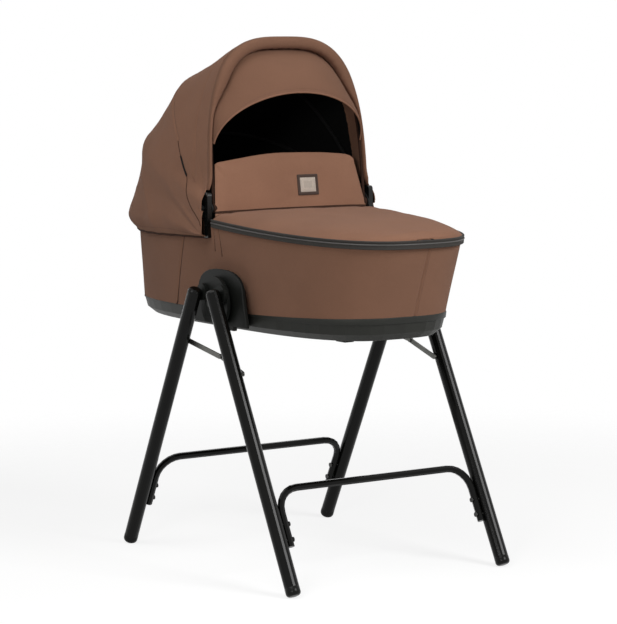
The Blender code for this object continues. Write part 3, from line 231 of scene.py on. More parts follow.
# Dark cloth for lines of painted shadow: in seams and pleats, under the hood's hem, at the cover's fold, on the flap's
# lower seam and the front bow's sleeve.
SEAM_SHADOW = cloth("seam_shadow_cloth", (0.045, 0.022, 0.015), 0.0007, 0.0, 0.0001, 0.1)
QUILT = cloth("pale_quilt", (0.60, 0.575, 0.53), 0.0010, 0.1, 0.0002, 0.05)
PATCH_FRAME = cloth("patch_frame", (0.085, 0.058, 0.048), 0.0010, 0.05, 0.00025, 0.15)
PATCH_FACE = cloth("patch_face", (0.57, 0.49, 0.42), 0.0011, 0.05, 0.00030, 0.12)


# Mesh helpers

def row_frame(point):
    return Vector((point[0] + SHIFT, point[1], point[2]))


def shown(name, data):
    """A new object of the scene."""
    made = bpy.data.objects.new(name, data)
    bpy.context.scene.collection.objects.link(made)
    return made


def linked(name, mesh, *materials):
    """A new shown mesh, shaded smooth."""
    for each in materials:
        mesh.materials.append(each)
    mesh.shade_smooth()
    return shown(name, mesh)


def placed(piece, body, slot, *nodes):
    """Says which body a piece rides and hides the CAD nodes that it stands for; its slot argument is not used."""
    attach(piece, body)
    if nodes:
        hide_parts(*nodes)


def edited(mesh, change):
    """Carries out a change of a mesh's points and faces."""
    shape = bmesh.new()
    shape.from_mesh(mesh)
    change(shape)
    shape.to_mesh(mesh)
    shape.free()


def welded(mesh):
    """Joins the points that lie on each other."""
    edited(mesh, lambda shape: bmesh.ops.remove_doubles(shape, verts=shape.verts, dist=1e-6))


def settled(piece, sharp=42):
    """Applies the piece's modifiers, so that its mesh is final."""
    bpy.context.view_layer.update()
    seen = piece.evaluated_get(bpy.context.evaluated_depsgraph_get())
    mesh = bpy.data.meshes.new_from_object(seen)
    old = piece.data
    piece.modifiers.clear()
    piece.data = mesh
    bpy.data.meshes.remove(old)
    mesh.name = piece.name
    edited(mesh, lambda shape: bmesh.ops.recalc_face_normals(shape, faces=shape.faces))
    mesh.shade_smooth()
    mesh.set_sharp_from_angle(angle=math.radians(sharp))
    return piece


SWELL_FRAMES, SWELL_PRESSURE = 20, 4.0


def puffed(piece, sewn, most):
    """Swells a closed pad by cloth simulation, held where it is sewn; no point moves further than most."""
    held = piece.vertex_groups.new(name="sewn")
    held.add([v.index for v in piece.data.vertices if sewn(v.index, v.co - AHEAD * SHIFT)], 1.0, "REPLACE")
    step = piece.modifiers.new("swell", "CLOTH")
    step.settings.vertex_group_mass = held.name
    step.settings.quality = 6
    step.settings.use_pressure = True
    step.settings.uniform_pressure_force = SWELL_PRESSURE
    step.settings.effector_weights.gravity = 0.0
    step.point_cache.frame_start = 1
    step.point_cache.frame_end = SWELL_FRAMES
    for number in range(1, SWELL_FRAMES + 1):
        bpy.context.scene.frame_set(number)
    seen = piece.evaluated_get(bpy.context.evaluated_depsgraph_get())
    places = [v.co.copy() for v in seen.data.vertices]
    piece.modifiers.remove(step)
    bpy.context.scene.frame_set(1)
    for vertex, place in zip(piece.data.vertices, places):
        shift = place - vertex.co
        vertex.co += shift * min(1.0, most / max(shift.length, 1e-9))
    piece.vertex_groups.clear()
    piece.data.update()


def spans(points):
    """The distance along a line of points to each of them."""
    total, out = 0.0, [0.0]
    for a, b in zip(points, points[1:]):
        total += (b - a).length
        out.append(total)
    return out


def crossing(low, high, before, steps=30):
    """The place between low and high up to which before holds."""
    for _ in range(steps):
        middle = (low + high) / 2
        low, high = (middle, high) if before(middle) else (low, middle)
    return low


def heading(points, i):
    """The direction of a line of points at one of them."""
    return (points[min(i + 1, len(points) - 1)] - points[max(i - 1, 0)]).normalized()


def even_sines(steps):
    """From -1 to 1, closer towards both ends."""
    return [math.sin(math.pi / 2 * (2 * j / steps - 1)) for j in range(steps + 1)]


def power_of(value, power):
    """A power that keeps the sign."""
    return math.copysign(abs(value) ** power, value)


def mesh_of(name, shape):
    mesh = bpy.data.meshes.new(name)
    shape.to_mesh(mesh)
    shape.free()
    return mesh


def located(points, wants):
    """For each distance along a line of points, the segment that it falls in and its share of that."""
    places = spans(points)
    k = 0
    for want in wants:
        while k < len(points) - 2 and places[k + 1] < want:
            k += 1
        step = places[k + 1] - places[k]
        yield k, (want - places[k]) / step if step > 1e-12 else 0.0


def resampled(points, count):
    """This many equal steps along a line of points."""
    length = spans(points)[-1]
    wants = [length * i / count for i in range(count + 1)]
    return [points[k].lerp(points[k + 1], share) for k, share in located(points, wants)]


def skin(name, rows, loop=False, caps=False):
    """A mesh through rows of points, with its weave laid out in metres."""
    count = len(rows[0])
    ends = count + 1 if loop else count
    across = [spans([row[j % count] for row in rows]) for j in range(count)]
    along = []
    for row in rows:
        line = spans([*row, row[0]] if loop else row)
        along.append([place - line[-1] / 2 for place in line])
    shape = bmesh.new()
    weave = shape.loops.layers.uv.new("weave")
    verts = [[shape.verts.new(row_frame(p)) for p in row] for row in rows]
    for i in range(len(rows) - 1):
        for j in range(ends - 1):
            corners = ((i, j), (i, j + 1), (i + 1, j + 1), (i + 1, j))
            face = shape.faces.new([verts[a][b % count] for a, b in corners])
            for corner, (a, b) in zip(face.loops, corners):
                corner[weave].uv = (along[a][b], across[b % count][a])
    if caps:
        shape.faces.new(list(reversed(verts[0])))
        shape.faces.new(verts[-1])
    return mesh_of(name, shape)


def closed(name, rings, material, sharp=42, caps=True):
    """A closed piece through rings of points."""
    return settled(linked(name, skin(name, rings, loop=True, caps=caps), material), sharp)


def facing_out(mesh, middle):
    """Turns the faces of an open mesh so that they look away from a point."""
    centre = row_frame(middle)
    if sum((face.center - centre).dot(face.normal) * face.area for face in mesh.polygons) < 0:
        mesh.flip_normals()
    return mesh


def thick(piece, thickness):
    """Gives an open sheet its thickness on its inner side, which takes the second material."""
    step = piece.modifiers.new("thickness", "SOLIDIFY")
    step.thickness = thickness
    step.offset = -1.0
    step.use_even_offset = False
    step.material_offset = 1
    step.use_rim = True
    return piece


def lined(name, rows, middle, outside, thickness=CLOTH):
    """A sheet of cloth with a black lining on the side that looks towards a point."""
    mesh = facing_out(skin(name, rows), middle)
    return settled(thick(linked(name, mesh, outside, LINING), thickness), 50)


def ripple(point, size, scale, seed=0.0):
    return size * noise.noise(Vector((point[0] * scale + seed, point[1] * scale, point[2] * scale)))


def bell(distance, width):
    return math.exp(-(distance / width) ** 2)


def sweep(name, path, section, material, up=UP):
    """A section of (out, up) points carried along a path, upright."""
    rows = []
    for i, point in enumerate(path):
        along = heading(path, i)
        out = along.cross(up).normalized()
        rise = out.cross(along).normalized()
        rows.append([point + out * a + rise * b for a, b in section])
    return closed(name, rows, material)


def ring(radius, sides=8):
    turns = [math.tau * k / sides for k in range(sides)]
    return [(radius * math.cos(turn), radius * math.sin(turn)) for turn in turns]


STITCH_ENDS = ((-0.5, 0.35, 1.0), (-0.3, 1.0, 0.1), (0.3, 1.0, 0.1), (0.5, 0.35, 1.0))  # (place, thickness, how sunk)
STITCH_SIDES, STITCH_LIFT = 6, 0.00012


def stitches(name, lines, body, material=THREAD, pitch=0.0042, length=0.0029, radius=0.00038):
    """Separate stitches along lines of (point, outward normal)."""
    shape = bmesh.new()
    for line in lines:
        points = [point for point, _ in line]
        count = int(spans(points)[-1] / pitch)
        for k, share in located(points, [(i + 0.5) * pitch for i in range(count)]):
            middle = points[k].lerp(points[k + 1], share)
            normal = line[k][1].lerp(line[k + 1][1], share).normalized()
            along = (points[k + 1] - points[k]).normalized()
            side = normal.cross(along).normalized()
            rings = []
            for at, size, sink in STITCH_ENDS:
                centre = middle + along * (length * at) + normal * (STITCH_LIFT - sink * radius)
                rings.append([shape.verts.new(row_frame(centre + side * a * size + normal * b * size))
                              for a, b in ring(radius, STITCH_SIDES)])
            for low, high in zip(rings, rings[1:]):
                for j in range(STITCH_SIDES):
                    after = (j + 1) % STITCH_SIDES
                    shape.faces.new((low[j], low[after], high[after], high[j]))
            shape.faces.new(list(reversed(rings[0])))
            shape.faces.new(rings[-1])
    bmesh.ops.recalc_face_normals(shape, faces=shape.faces)
    piece = linked(name, mesh_of(name, shape), material)
    placed(piece, body, "brown_cloth")


# The tub's shapes

def rim_z(x):
    share = (x - RIM_X) / RIM_LENGTH
    return RIM_Z - RIM_DROP * share + RIM_ENDS_RISE * share**2


def wall_size(t):
    flare = max(t, 0.0) ** WALL_FLARE
    return [low + (high - low) * flare for low, high in (
        (TRAY_X, RIM_X), (TRAY_LENGTH, RIM_LENGTH), (TRAY_WIDTH, RIM_WIDTH), (TRAY_SQUARE, RIM_SQUARE)
    )]


def wall_point(turn, t, out=0.0, lift=0.0):
    """A point on the wall: turn 0 at the foot end, rising through the left side."""
    middle, length, width, square = wall_size(t)
    x = middle + (length + out) * power_of(math.cos(turn), 2 / square)
    y = (width + out) * power_of(math.sin(turn), 2 / square)
    return Vector((x, y, WALL_LOW_Z + (rim_z(x) - WALL_LOW_Z) * t + lift))


# Seams on the wall, as x at the rim and at the tray for the side seams, and y for the one at the foot
SIDE_SEAM = (-0.155, -0.217)
FOOT_SEAM_Y = 0.015
PLEATS = ((-0.0545, -0.0485, 0.33), (-0.0370, -0.0235, 0.375))  # x at the rim, x where it ends, its share of the height
SIDE_Y = 0.1  # further out than this, a point is on the wall's side
SIDE_SEAM_DIP, END_SEAM_DIP, PLEAT_DIP = (0.0024, 0.0022), (0.0022, 0.0020), (0.0030, 0.0018)  # depth, half width
SEAM_END, SEAM_SHADE_RADIUS, PLEAT_END, PLEAT_SHADE_RADIUS = 0.94, 0.0019, 0.93, 0.0013  # height under the tape, radius of the line of painted shade
SEAM_PROUD, STITCH_BESIDE = 0.0004, 0.0052
CLOSE_COLUMN, WIDE_COLUMN = 0.0009, 0.005
WALL_PUFF, WALL_RIPPLE = 0.0012, 0.0011


def near_seam(point):
    """Whether the wall needs close columns here, for a seam or a pleat."""
    if abs(point.y) > SIDE_Y:
        return -0.226 < point.x < -0.148 or -0.062 < point.x < -0.016
    return abs(point.y - (FOOT_SEAM_Y if point.x > 0 else 0.0)) < 0.008


def wall_turns():
    """Turns that step evenly round the rim, closer beside its seams."""
    dense = [math.tau * i / 6000 for i in range(6001)]
    points = [wall_point(turn, 0.6) for turn in dense]
    out, gone = [0.0], 0.0
    for turn, point, last in zip(dense[1:-1], points[1:-1], points):
        gone += (point - last).length
        if gone >= (CLOSE_COLUMN if near_seam(point) else WIDE_COLUMN):
            out.append(turn)
            gone = 0.0
    return out


def side_seam_x(t):
    return SIDE_SEAM[1] + (SIDE_SEAM[0] - SIDE_SEAM[1]) * t


def seam_depth(point, t):
    """How far the wall's cloth is drawn in at this place by seams and pleats."""
    if abs(point.y) <= SIDE_Y:
        deep, wide = END_SEAM_DIP
        return deep * bell(point.y - (FOOT_SEAM_Y if point.x > 0 else 0.0), wide)
    deep, wide = SIDE_SEAM_DIP
    depth = deep * bell(point.x - side_seam_x(t), wide)
    deep, wide = PLEAT_DIP
    for top, end, share in PLEATS:
        down = (1 - t) / share
        if down < 1:
            depth = max(depth, deep * (1 - down) ** 0.5 * bell(point.x - (top + (end - top) * down), wide))
    return depth


def wall_cloth(turn, t, out=0.0):
    """A point on the dressed wall's outside."""
    bare = wall_point(turn, t)
    puff = WALL_PUFF * math.sin(math.pi * min(1.0, t)) ** 0.7 + ripple(bare, WALL_RIPPLE, 9.0)
    puff -= seam_depth(bare, t) * min(1.0, t / 0.03)
    return wall_point(turn, t, puff * min(1.0, (1 - t) / 0.05 + 0.2) + out)


# The wall's roll over the rim, as (out, up); its lining starts after the third place
RIM_ROLL = ((0.0, 0.0), (-0.0012, 0.0016), (-0.0035, 0.0024), (-0.0058, 0.0014), (-0.0068, -0.001))


def make_tub():
    """The padded wall: brown cloth outside, black lining inside, rolled over at the rim."""
    turns = wall_turns()
    levels = [0.0, 0.012, 0.03] + [0.03 + 0.94 * i / 26 for i in range(1, 27)] + [0.985]
    rows = [[wall_cloth(turn, t) for turn in turns] for t in levels]
    rows += [[wall_point(turn, 1.0, out, lift) for turn in turns] for out, lift in RIM_ROLL]
    for t in (0.9, 0.75, 0.6, 0.45, 0.3, 0.15, 0.0):
        rows.append([wall_point(turn, t, RIM_ROLL[-1][0] + 0.001 * math.sin(math.pi * t)) for turn in turns])
    rows.append(rows[0])
    mesh = skin("tub_wall", rows, loop=True)
    # The wall's brown is painted darker, as painted shade.
    piece = linked("tub_wall", mesh, BROWN_TUB_PAINTED_SHADE, LINING)
    for face in mesh.polygons[(len(levels) + 2) * len(turns):]:
        face.material_index = 1
    welded(mesh)
    settled(piece)
    placed(piece, "carrycot", "brown_cloth", "cot_wall")


LIP, LIP_RISE = 0.0019, 0.0098  # the tray's lip: how far it stands out, and its rise at the foot end


def lip_top(x):
    return TRAY_TOP_Z + 0.0008 + LIP_RISE * min(1.0, max(0.0, (x + 0.02) / 0.33))


# The lip's section: (out, down from the lip's top or up from its lower edge, whether it is at the lower edge)
LIP_SECTION = ((0.0004, 0.0, True), (LIP - 0.0005, 0.0, True), (LIP, 0.0005, True), (LIP, 0.0014, False),
               (LIP - 0.0005, 0.0004, False), (0.0008, 0.0, False), (-0.0004, 0.0006, False))


def make_tray_lip():
    """The lip of the tray over the wall's foot, rising towards the foot end."""
    turns = wall_turns()
    rows = []
    for out, offset, low in LIP_SECTION:
        row = []
        for turn in turns:
            x = wall_point(turn, 0.0).x
            proud = out * (0.35 + 0.65 * (lip_top(x) - lip_top(-1.0)) / LIP_RISE)
            if low:
                p = wall_point(turn, 0.0, proud)
                p.z = TRAY_TOP_Z - 0.0015 + offset
            else:
                p = wall_point(turn, (lip_top(x) - offset - WALL_LOW_Z) / (rim_z(x) - WALL_LOW_Z), proud)
            row.append(p)
        rows.append(row)
    placed(closed("tray_lip", rows, TRAY_PLASTIC, 50, caps=False), "carrycot", "matt_black_plastic")


def side_turn(x, t):
    """The turn at which the wall's left side, this share of its height up, has this x."""
    return crossing(0.0, math.pi, lambda turn: wall_point(turn, t).x > x)


def wall_seam(name, side, top_x, low_x, low_t, high_t, radius):
    """A seam's line of painted shade on the wall's side, from x at the rim to x at its lower end, sunk in the cloth."""
    path = []
    for i in range(50):
        t = low_t + (high_t - low_t) * i / 49
        want = low_x + (top_x - low_x) * (t - low_t) / (1 - low_t)
        p = wall_cloth(side_turn(want, t), t, SEAM_PROUD)
        path.append(Vector((p.x, side * p.y, p.z)))
    placed(sweep(name, path, ring(radius), SEAM_SHADOW, ACROSS * side), "carrycot", "brown_cloth")


def make_wall_seams():
    for word, side in SIDES:
        wall_seam(f"wall_seam_{word}", side, *SIDE_SEAM, 0.0, SEAM_END, SEAM_SHADE_RADIUS)
        for number, (top_x, low_x, share) in enumerate(PLEATS, 1):
            wall_seam(f"wall_pleat_{word}_{number}", side, top_x, low_x, 1 - share, PLEAT_END, PLEAT_SHADE_RADIUS)


# The rim tape's section and its bead's place, as (out, up) from the rim
TAPE_SECTION = ((0.0002, -0.0118), (0.0022, -0.0121), (0.0034, -0.0112), (0.0036, -0.0060), (0.0034, -0.0005),
                (0.0036, 0.0001), (0.0044, 0.0008), (0.0044, 0.0026), (0.0034, 0.0036), (0.0012, 0.0037),
                (0.0002, 0.0034))
BEAD_PLACE = (0.0038, -0.0032)


def make_rim_tape():
    """The dark tape round the rim, from strip to strip, with its bead."""
    dense = [math.radians(-110 + 220 * i / 1200) for i in range(1201)]
    path = [wall_point(turn, 1.0) for turn in dense]
    path = resampled([p for p in path if p.x >= HOOD_X + STRIP_HALF + 0.0002], 260)
    placed(sweep("rim_tape", path, TAPE_SECTION, TAPE), "carrycot", "dark_tape", "rim_band")
    out, up = BEAD_PLACE
    bead_path = [p + heading(path, i).cross(UP).normalized() * out + UP * up for i, p in enumerate(path)]
    placed(sweep("rim_bead_line", bead_path, ring(0.0013, 10), BEAD), "carrycot", "dark_tape")


# The cover over the foot half

CROWN_HEAD, CROWN_RISE, CROWN_FALL = 0.0125, 0.0145, 0.015  # over the rim at the flap, more behind it, less at the foot
COVER_GAP, COVER_DRAG = 0.0008, 0.0030  # over the rim, and how deep the drag lines from the flap's ends are


def cover_crown(x):
    share = (x - COVER_HEAD_X) / (RIM_X + RIM_LENGTH - COVER_HEAD_X)
    rise = min(1.0, share / 0.3)
    fall = max(0.0, (share - 0.55) / 0.45)
    return CROWN_HEAD + CROWN_RISE * math.sin(rise * math.pi / 2) - CROWN_FALL * fall**2


def cover_point(share_x, share_y):
    """A place on the cover's top: shares of its length and of its width there."""
    length, width = RIM_LENGTH + 0.0005, RIM_WIDTH + 0.0005
    x = COVER_HEAD_X + (RIM_X + length - COVER_HEAD_X) * share_x
    half = width * max(0.0, 1 - abs((x - RIM_X) / length) ** RIM_SQUARE) ** (1 / RIM_SQUARE)
    y = share_y * half
    square = 5.0 + 11.0 * (1 - smooth((x - COVER_HEAD_X) / 0.10))
    crown = cover_crown(x) * (1 - abs(share_y) ** square) * min(1.0, half / 0.09)
    ends = max(0.0, min(1.0, (1 - abs(share_y)) / 0.15, half / 0.1))
    slants = [bell(y * side - 0.150 + 0.35 * (x - COVER_HEAD_X), 0.012) for _, side in SIDES]
    fold = COVER_DRAG * sum(slants) * bell(share_x - 0.12, 0.16)
    soft = ripple((x, y, 0.0), 0.0022, 8.0, 3.0) + ripple((x, y, 0.0), 0.0010, 21.0, 9.0)
    return Vector((x, y, rim_z(x) + COVER_GAP + crown + CLOTH + (soft - fold) * ends))


def make_cover():
    """The cover, with painted shade along its fold where it meets the flap."""
    steps_x, steps_y = 90, 80
    shares = [math.sin(math.pi / 2 * i / steps_x) ** 1.15 for i in range(steps_x)] + [0.9992]
    shares.insert(1, COVER_FOLD_SHADE)
    rows = [[cover_point(share, side) for side in even_sines(steps_y)] for share in shares]
    mesh = facing_out(skin("cover_cloth", rows), (0.15, 0.0, 0.0))
    piece = linked("cover_cloth", mesh, BROWN_CLOTH, LINING, SEAM_SHADOW)
    # The first row of faces takes the dark seam cloth: painted shade at the fold.
    for face in mesh.polygons[:steps_y]:
        face.material_index = 2
    settled(thick(piece, CLOTH))
    placed(piece, "carrycot", "brown_cloth", "foot_cover")


# The windscreen flap

FLAP_LOW_Z = 0.6745
FLAP_SEAM_ROW = 6  # the row of the flap's mesh that its lower seam holds
FLAP_NEAR, FLAP_FAR = (0.1770, 0.0085), (0.1775, 0.0225)  # half width at its foot, and what it loses to its top
FLAP_FILL, FLAP_EDGE, FLAP_SET_BACK, FLAP_SWELL = 0.0034, 0.0006, 0.0045, 0.0024
LABEL_Y, LABEL_Z = 0.039, 0.729
LABEL_FACE, LABEL_FRAME, LABEL_BORDER = (0.038, 0.032), (0.048, 0.041), 0.0062
LABEL_CORNER, LABEL_STITCHES = 0.0014, (0.0212, 0.0177)
FLAP_TOP = ((-0.165, 0.778), (-0.118, 0.784), (-0.072, 0.790), (-0.026, 0.7935), (0.046, 0.7925), (0.089, 0.791),
            (0.145, 0.786), (0.160, 0.777))


def flap_top_z(y):
    for (y0, z0), (y1, z1) in zip(FLAP_TOP, FLAP_TOP[1:]):
        if y <= y1:
            return z0 + (z1 - z0) * max(0.0, (y - y0) / (y1 - y0))
    return FLAP_TOP[-1][1]


def flap_point(share_y, t, out):
    """A place on the flap: out is 1 on its front, 0 on its middle sheet and -1 on its back."""
    wide, narrower = FLAP_NEAR if share_y < 0 else FLAP_FAR
    y = share_y * (wide - narrower * t)
    top = 0.25 * sum(flap_top_z(y + d) for d in (-0.012, -0.004, 0.004, 0.012))
    corner = 0.004 * max(0.0, (abs(share_y) - 0.93) / 0.07) ** 2
    z = FLAP_LOW_Z + (top - corner - FLAP_LOW_Z) * t
    edge = min((1 - abs(share_y)) / 0.07, (1 - t) / 0.09, t / 0.10 + 0.25, 1.0)
    swell = math.sqrt(max(0.0, 1 - (1 - max(0.0, edge)) ** 2))
    depth = FLAP_FILL * swell + FLAP_EDGE
    x = FLAP_X - 0.0003 - (z - FLAP_Z) * FLAP_LEAN - FLAP_SET_BACK
    soft = ripple((0.0, y, z), 0.0016, 13.0, 5.0) * swell
    return Vector((x + out * depth + soft, y, z))


def make_flap():
    steps_y, steps_z = 90, 34
    columns = 2 * steps_y + 2
    heights = [0.5 - 0.5 * math.cos(math.pi * i / steps_z) for i in range(steps_z + 1)]
    shares = even_sines(steps_y)
    loops = [[flap_point(s, t, 1.0) for s in shares] + [flap_point(s, t, -1.0) for s in reversed(shares)]
             for t in heights]
    mesh = skin("flap_pad", loops, loop=True, caps=True)
    # The flap's cloth is painted lighter, as painted light.
    piece = linked("flap_pad", mesh, BROWN_PAINTED_LIGHT, LINING, SEAM_SHADOW)
    # The faces by the lower seam take the dark seam cloth: painted shade in the seam.
    for face in mesh.polygons:
        row, column = divmod(face.index, columns)
        if column > steps_y and len(face.vertices) == 4:
            face.material_index = 1
        elif row in (FLAP_SEAM_ROW - 1, FLAP_SEAM_ROW):
            face.material_index = 2

    def sewn(index, place):
        row, column = divmod(index, columns)
        if row in (0, 1, FLAP_SEAM_ROW, steps_z) or column in (0, steps_y, steps_y + 1, columns - 1):
            return True
        return column <= steps_y and abs(place.y - LABEL_Y) < 0.026 and abs(place.z - LABEL_Z) < 0.022

    puffed(piece, sewn, FLAP_SWELL)
    settled(piece, 60)
    placed(piece, "windscreen", "brown_cloth", "windscreen_flap")
    facing = Vector((1, 0, FLAP_LEAN))
    seam = [(flap_point(s / 60, heights[FLAP_SEAM_ROW], 1.0), facing) for s in range(-56, 57)]
    stitches("flap_stitches", [seam], "windscreen")


def plate_piece(name, axes, size, depth, material, border=None):
    """A flat soft-edged plate; with border given, a frame this wide round a hole."""
    centre, across, up, normal = axes
    profile = [(0.0, 0.0), (0.0, depth * 0.6), (depth * 0.4, depth)]
    if border:
        profile += [(border - depth * 0.3, depth), (border, depth * 0.6), (border, 0.0), (0.0, 0.0)]
    else:
        profile += [(min(size) * 0.3, depth)]
    rings = []
    for inset, height in profile:
        wide, high = (half / 2 - inset - LABEL_CORNER for half in size)
        row = []
        for qx, qy, start in ((1, 1, 0), (-1, 1, 90), (-1, -1, 180), (1, -1, 270)):
            for k in range(7):
                turn = math.radians(start + 15 * k)
                a, b = wide * qx + LABEL_CORNER * math.cos(turn), high * qy + LABEL_CORNER * math.sin(turn)
                row.append(centre + across * a + up * b + normal * height)
        rings.append(row)
    mesh = skin(name, rings, loop=True, caps=not border)
    if border:
        welded(mesh)
    return settled(linked(name, mesh, material), 50)


def make_patch():
    """The small bare label patch: a dark woven frame round a pale woven face."""
    centre = Vector((FLAP_X - (LABEL_Z - FLAP_Z) * FLAP_LEAN - 0.0004, LABEL_Y, LABEL_Z))
    up = Vector((-FLAP_LEAN, 0.0, 1.0)).normalized()
    normal = ACROSS.cross(up).normalized()
    axes = (centre, ACROSS, up, normal)
    face = plate_piece("label_face", axes, LABEL_FACE, 0.0010, PATCH_FACE)
    border = plate_piece("label_frame", axes, LABEL_FRAME, 0.0015, PATCH_FRAME, LABEL_BORDER)
    placed(face, "windscreen", "dark_tape")
    placed(border, "windscreen", "dark_tape", "flap_patch")
    line = []
    corners = ((-1, -1), (1, -1), (1, 1), (-1, 1), (-1, -1))
    for (ax, ay), (bx, by) in zip(corners, corners[1:]):
        for k in range(8):
            a, b = ((ax + (bx - ax) * k / 8) * LABEL_STITCHES[0], (ay + (by - ay) * k / 8) * LABEL_STITCHES[1])
            line.append((centre + ACROSS * a + up * b + normal * 0.0015, normal))
    stitches("label_stitches", [[*line, line[0]]], "windscreen", PATCH_FRAME, 0.0030, 0.0021, 0.00028)


# The hood

def hood_size(angle):
    """Reach and half width of the hood's cloth at this angle, rounded over its bows."""
    reach = width = 0.0
    deltas = (-2.4, -1.2, 0.0, 1.2, 2.4)
    for delta in deltas:
        at = min(max(angle + delta, FRONT[0]), HEM[0])
        for k, (low, high) in enumerate(zip(BOWS, BOWS[1:])):
            if at <= high[0]:
                break
        t = (at - low[0]) / (high[0] - low[0])
        sag = 4 * t * (1 - t)
        reach += low[1] + (high[1] - low[1]) * t - SAGS[k] * sag
        width += low[2] + (high[2] - low[2]) * t - SIDE_SAG * sag
    return reach / len(deltas), width / len(deltas)


def smooth(share):
    share = min(1.0, max(0.0, share))
    return share * share * (3 - 2 * share)


def hood_drop(angle, r):
    """How far the rear cloth hangs below the hinge's rays beside the strip."""
    return REAR_DROP * smooth((angle - MIDDLE[0]) / 30) * (1 - smooth(r / 0.17))


def hood_point(angle, reach, width, a):
    """A point on the hood's outside; beside the hinge it lies close against the strip."""
    power = 2 / HOOD_SQUARE
    turn = math.radians(angle)
    r = reach * max(0.0, math.cos(a)) ** power
    y = width * abs(math.sin(a)) ** power
    beside = BESIDE_STRIP + REAR_BESIDE * smooth((angle - MIDDLE[0]) / 14)
    y = beside + (y - beside) * smooth(r / 0.07)
    x, z = r * math.cos(turn), r * math.sin(turn) - hood_drop(angle, r)
    rear = math.radians(REAR[0])
    along = x * math.cos(rear) + z * math.sin(rear)
    off = abs(x * math.sin(rear) - z * math.cos(rear))
    if along > 0.0:
        over_bow = REAR[2] * max(0.0, 1 - (along / REAR[1]) ** HOOD_SQUARE) ** (1 / HOOD_SQUARE)
        y += max(0.0, over_bow - y) * (1 - smooth((off - 0.007) / 0.028)) * smooth(1.6 - along / 0.12)
    return Vector((HOOD_X + x, math.copysign(y, a), HOOD_Z + z))


def hood_arch(angle, count=120, start=HINGE_START):
    """An arch of the hood from its right foot to its left, in equal steps, starting this far from the hinge."""
    reach, width = hood_size(angle)
    limit = math.acos(min(1.0, start / reach) ** (HOOD_SQUARE / 2))
    dense = [hood_point(angle, reach, width, limit * (2 * k / 500 - 1)) for k in range(501)]
    return resampled(dense, count)


def hood_out(point):
    """The direction away from the hood's inside at a point."""
    return Vector((point.x - HOOD_X, point.y * 1.2, point.z - HOOD_Z)).normalized()


def hung(point, angle):
    """Small slack in the hood's cloth: broad ripples, and drag lines beside the hinges."""
    out = hood_out(point)
    span = math.hypot(point.x - HOOD_X, point.z - HOOD_Z)
    soft = ripple(point, 0.0022, 10.0, 1.0) + ripple(point, 0.0009, 27.0, 4.0)
    drag = sum(deep * bell(angle - at, spread) * smooth(span / start) * max(0.0, 1 - span / end)
               for at, spread, deep, start, end in DRAGS)
    ridge = 0.0
    if abs(point.y) > SIDE_Y:
        off = (point.x - CREASE_TOP[0]) * CREASE_ACROSS[0] + (point.z - CREASE_TOP[1]) * CREASE_ACROSS[1]
        ridge = CREASE_RIDGE * math.exp(-abs(off) / 0.020) * smooth((CREASE_TOP[1] + 0.03 - point.z) / 0.03)
        ridge *= smooth((abs(point.y) - SIDE_Y) / 0.05)
    return point + out * (soft * smooth(span / 0.06) - drag) + ACROSS * math.copysign(ridge, point.y)


def bow_dip(point, angle):
    """How far the cloth dips into the second bow's seam."""
    return BOW_DIP * bell(angle - MIDDLE[0], BOW_DIP_DEGREES) * seam_share(point)


def wall_at_height(x, y, z, out):
    """The wall's outside at height z in the direction of a point, seen from beside the strip."""
    centre = AHEAD * (HOOD_X - STRIP_HALF)
    heading_x = x - centre.x

    def inside(reach):
        px, py = centre.x + heading_x * reach, y * reach
        t = (z - WALL_LOW_Z) / (rim_z(px) - WALL_LOW_Z)
        middle, length, width, square = wall_size(min(1.0, t))
        return abs((px - middle) / (length + out)) ** square + abs(py / (width + out)) ** square < 1

    reach = crossing(0.3, 2.5, inside, 28)
    return Vector((centre.x + heading_x * reach, y * reach, z))


def over_rim(point):
    """Carries the rear cloth out over the tub's rim at the head end."""
    length, width = RIM_LENGTH + 0.006, RIM_WIDTH + 0.006
    inside = abs((point.x - RIM_X) / length) ** RIM_SQUARE + abs(point.y / width) ** RIM_SQUARE
    share = smooth((rim_z(point.x) + 0.030 - point.z) / 0.024) * smooth((-0.20 - point.x) / 0.10)
    if inside >= 1 or share == 0:
        return point
    grow = 1 + (inside ** (-1 / RIM_SQUARE) - 1) * share
    return Vector((RIM_X + (point.x - RIM_X) * grow, point.y * grow, point.z))


# The bound hem's section as (in, up)
HEM_SECTION = ((0.0022, 0.0016), (0.0024, -0.0022), (0.0010, -0.0034), (-0.0006, -0.0026), (-0.0008, 0.0016),
               (0.0, 0.0030))
HOOD_COLUMNS = 132
CHANNEL, CHANNEL_DIP, CHANNEL_WIDE = 0.044, 0.0018, 0.0030  # from the hood's front edge to the seam behind it
SKIRT_ROWS, HEM_Z, HEM_DIP, HEM_WAVE, HEM_OFF_WALL = 12, 0.6355, 0.0045, 0.001, 0.0052


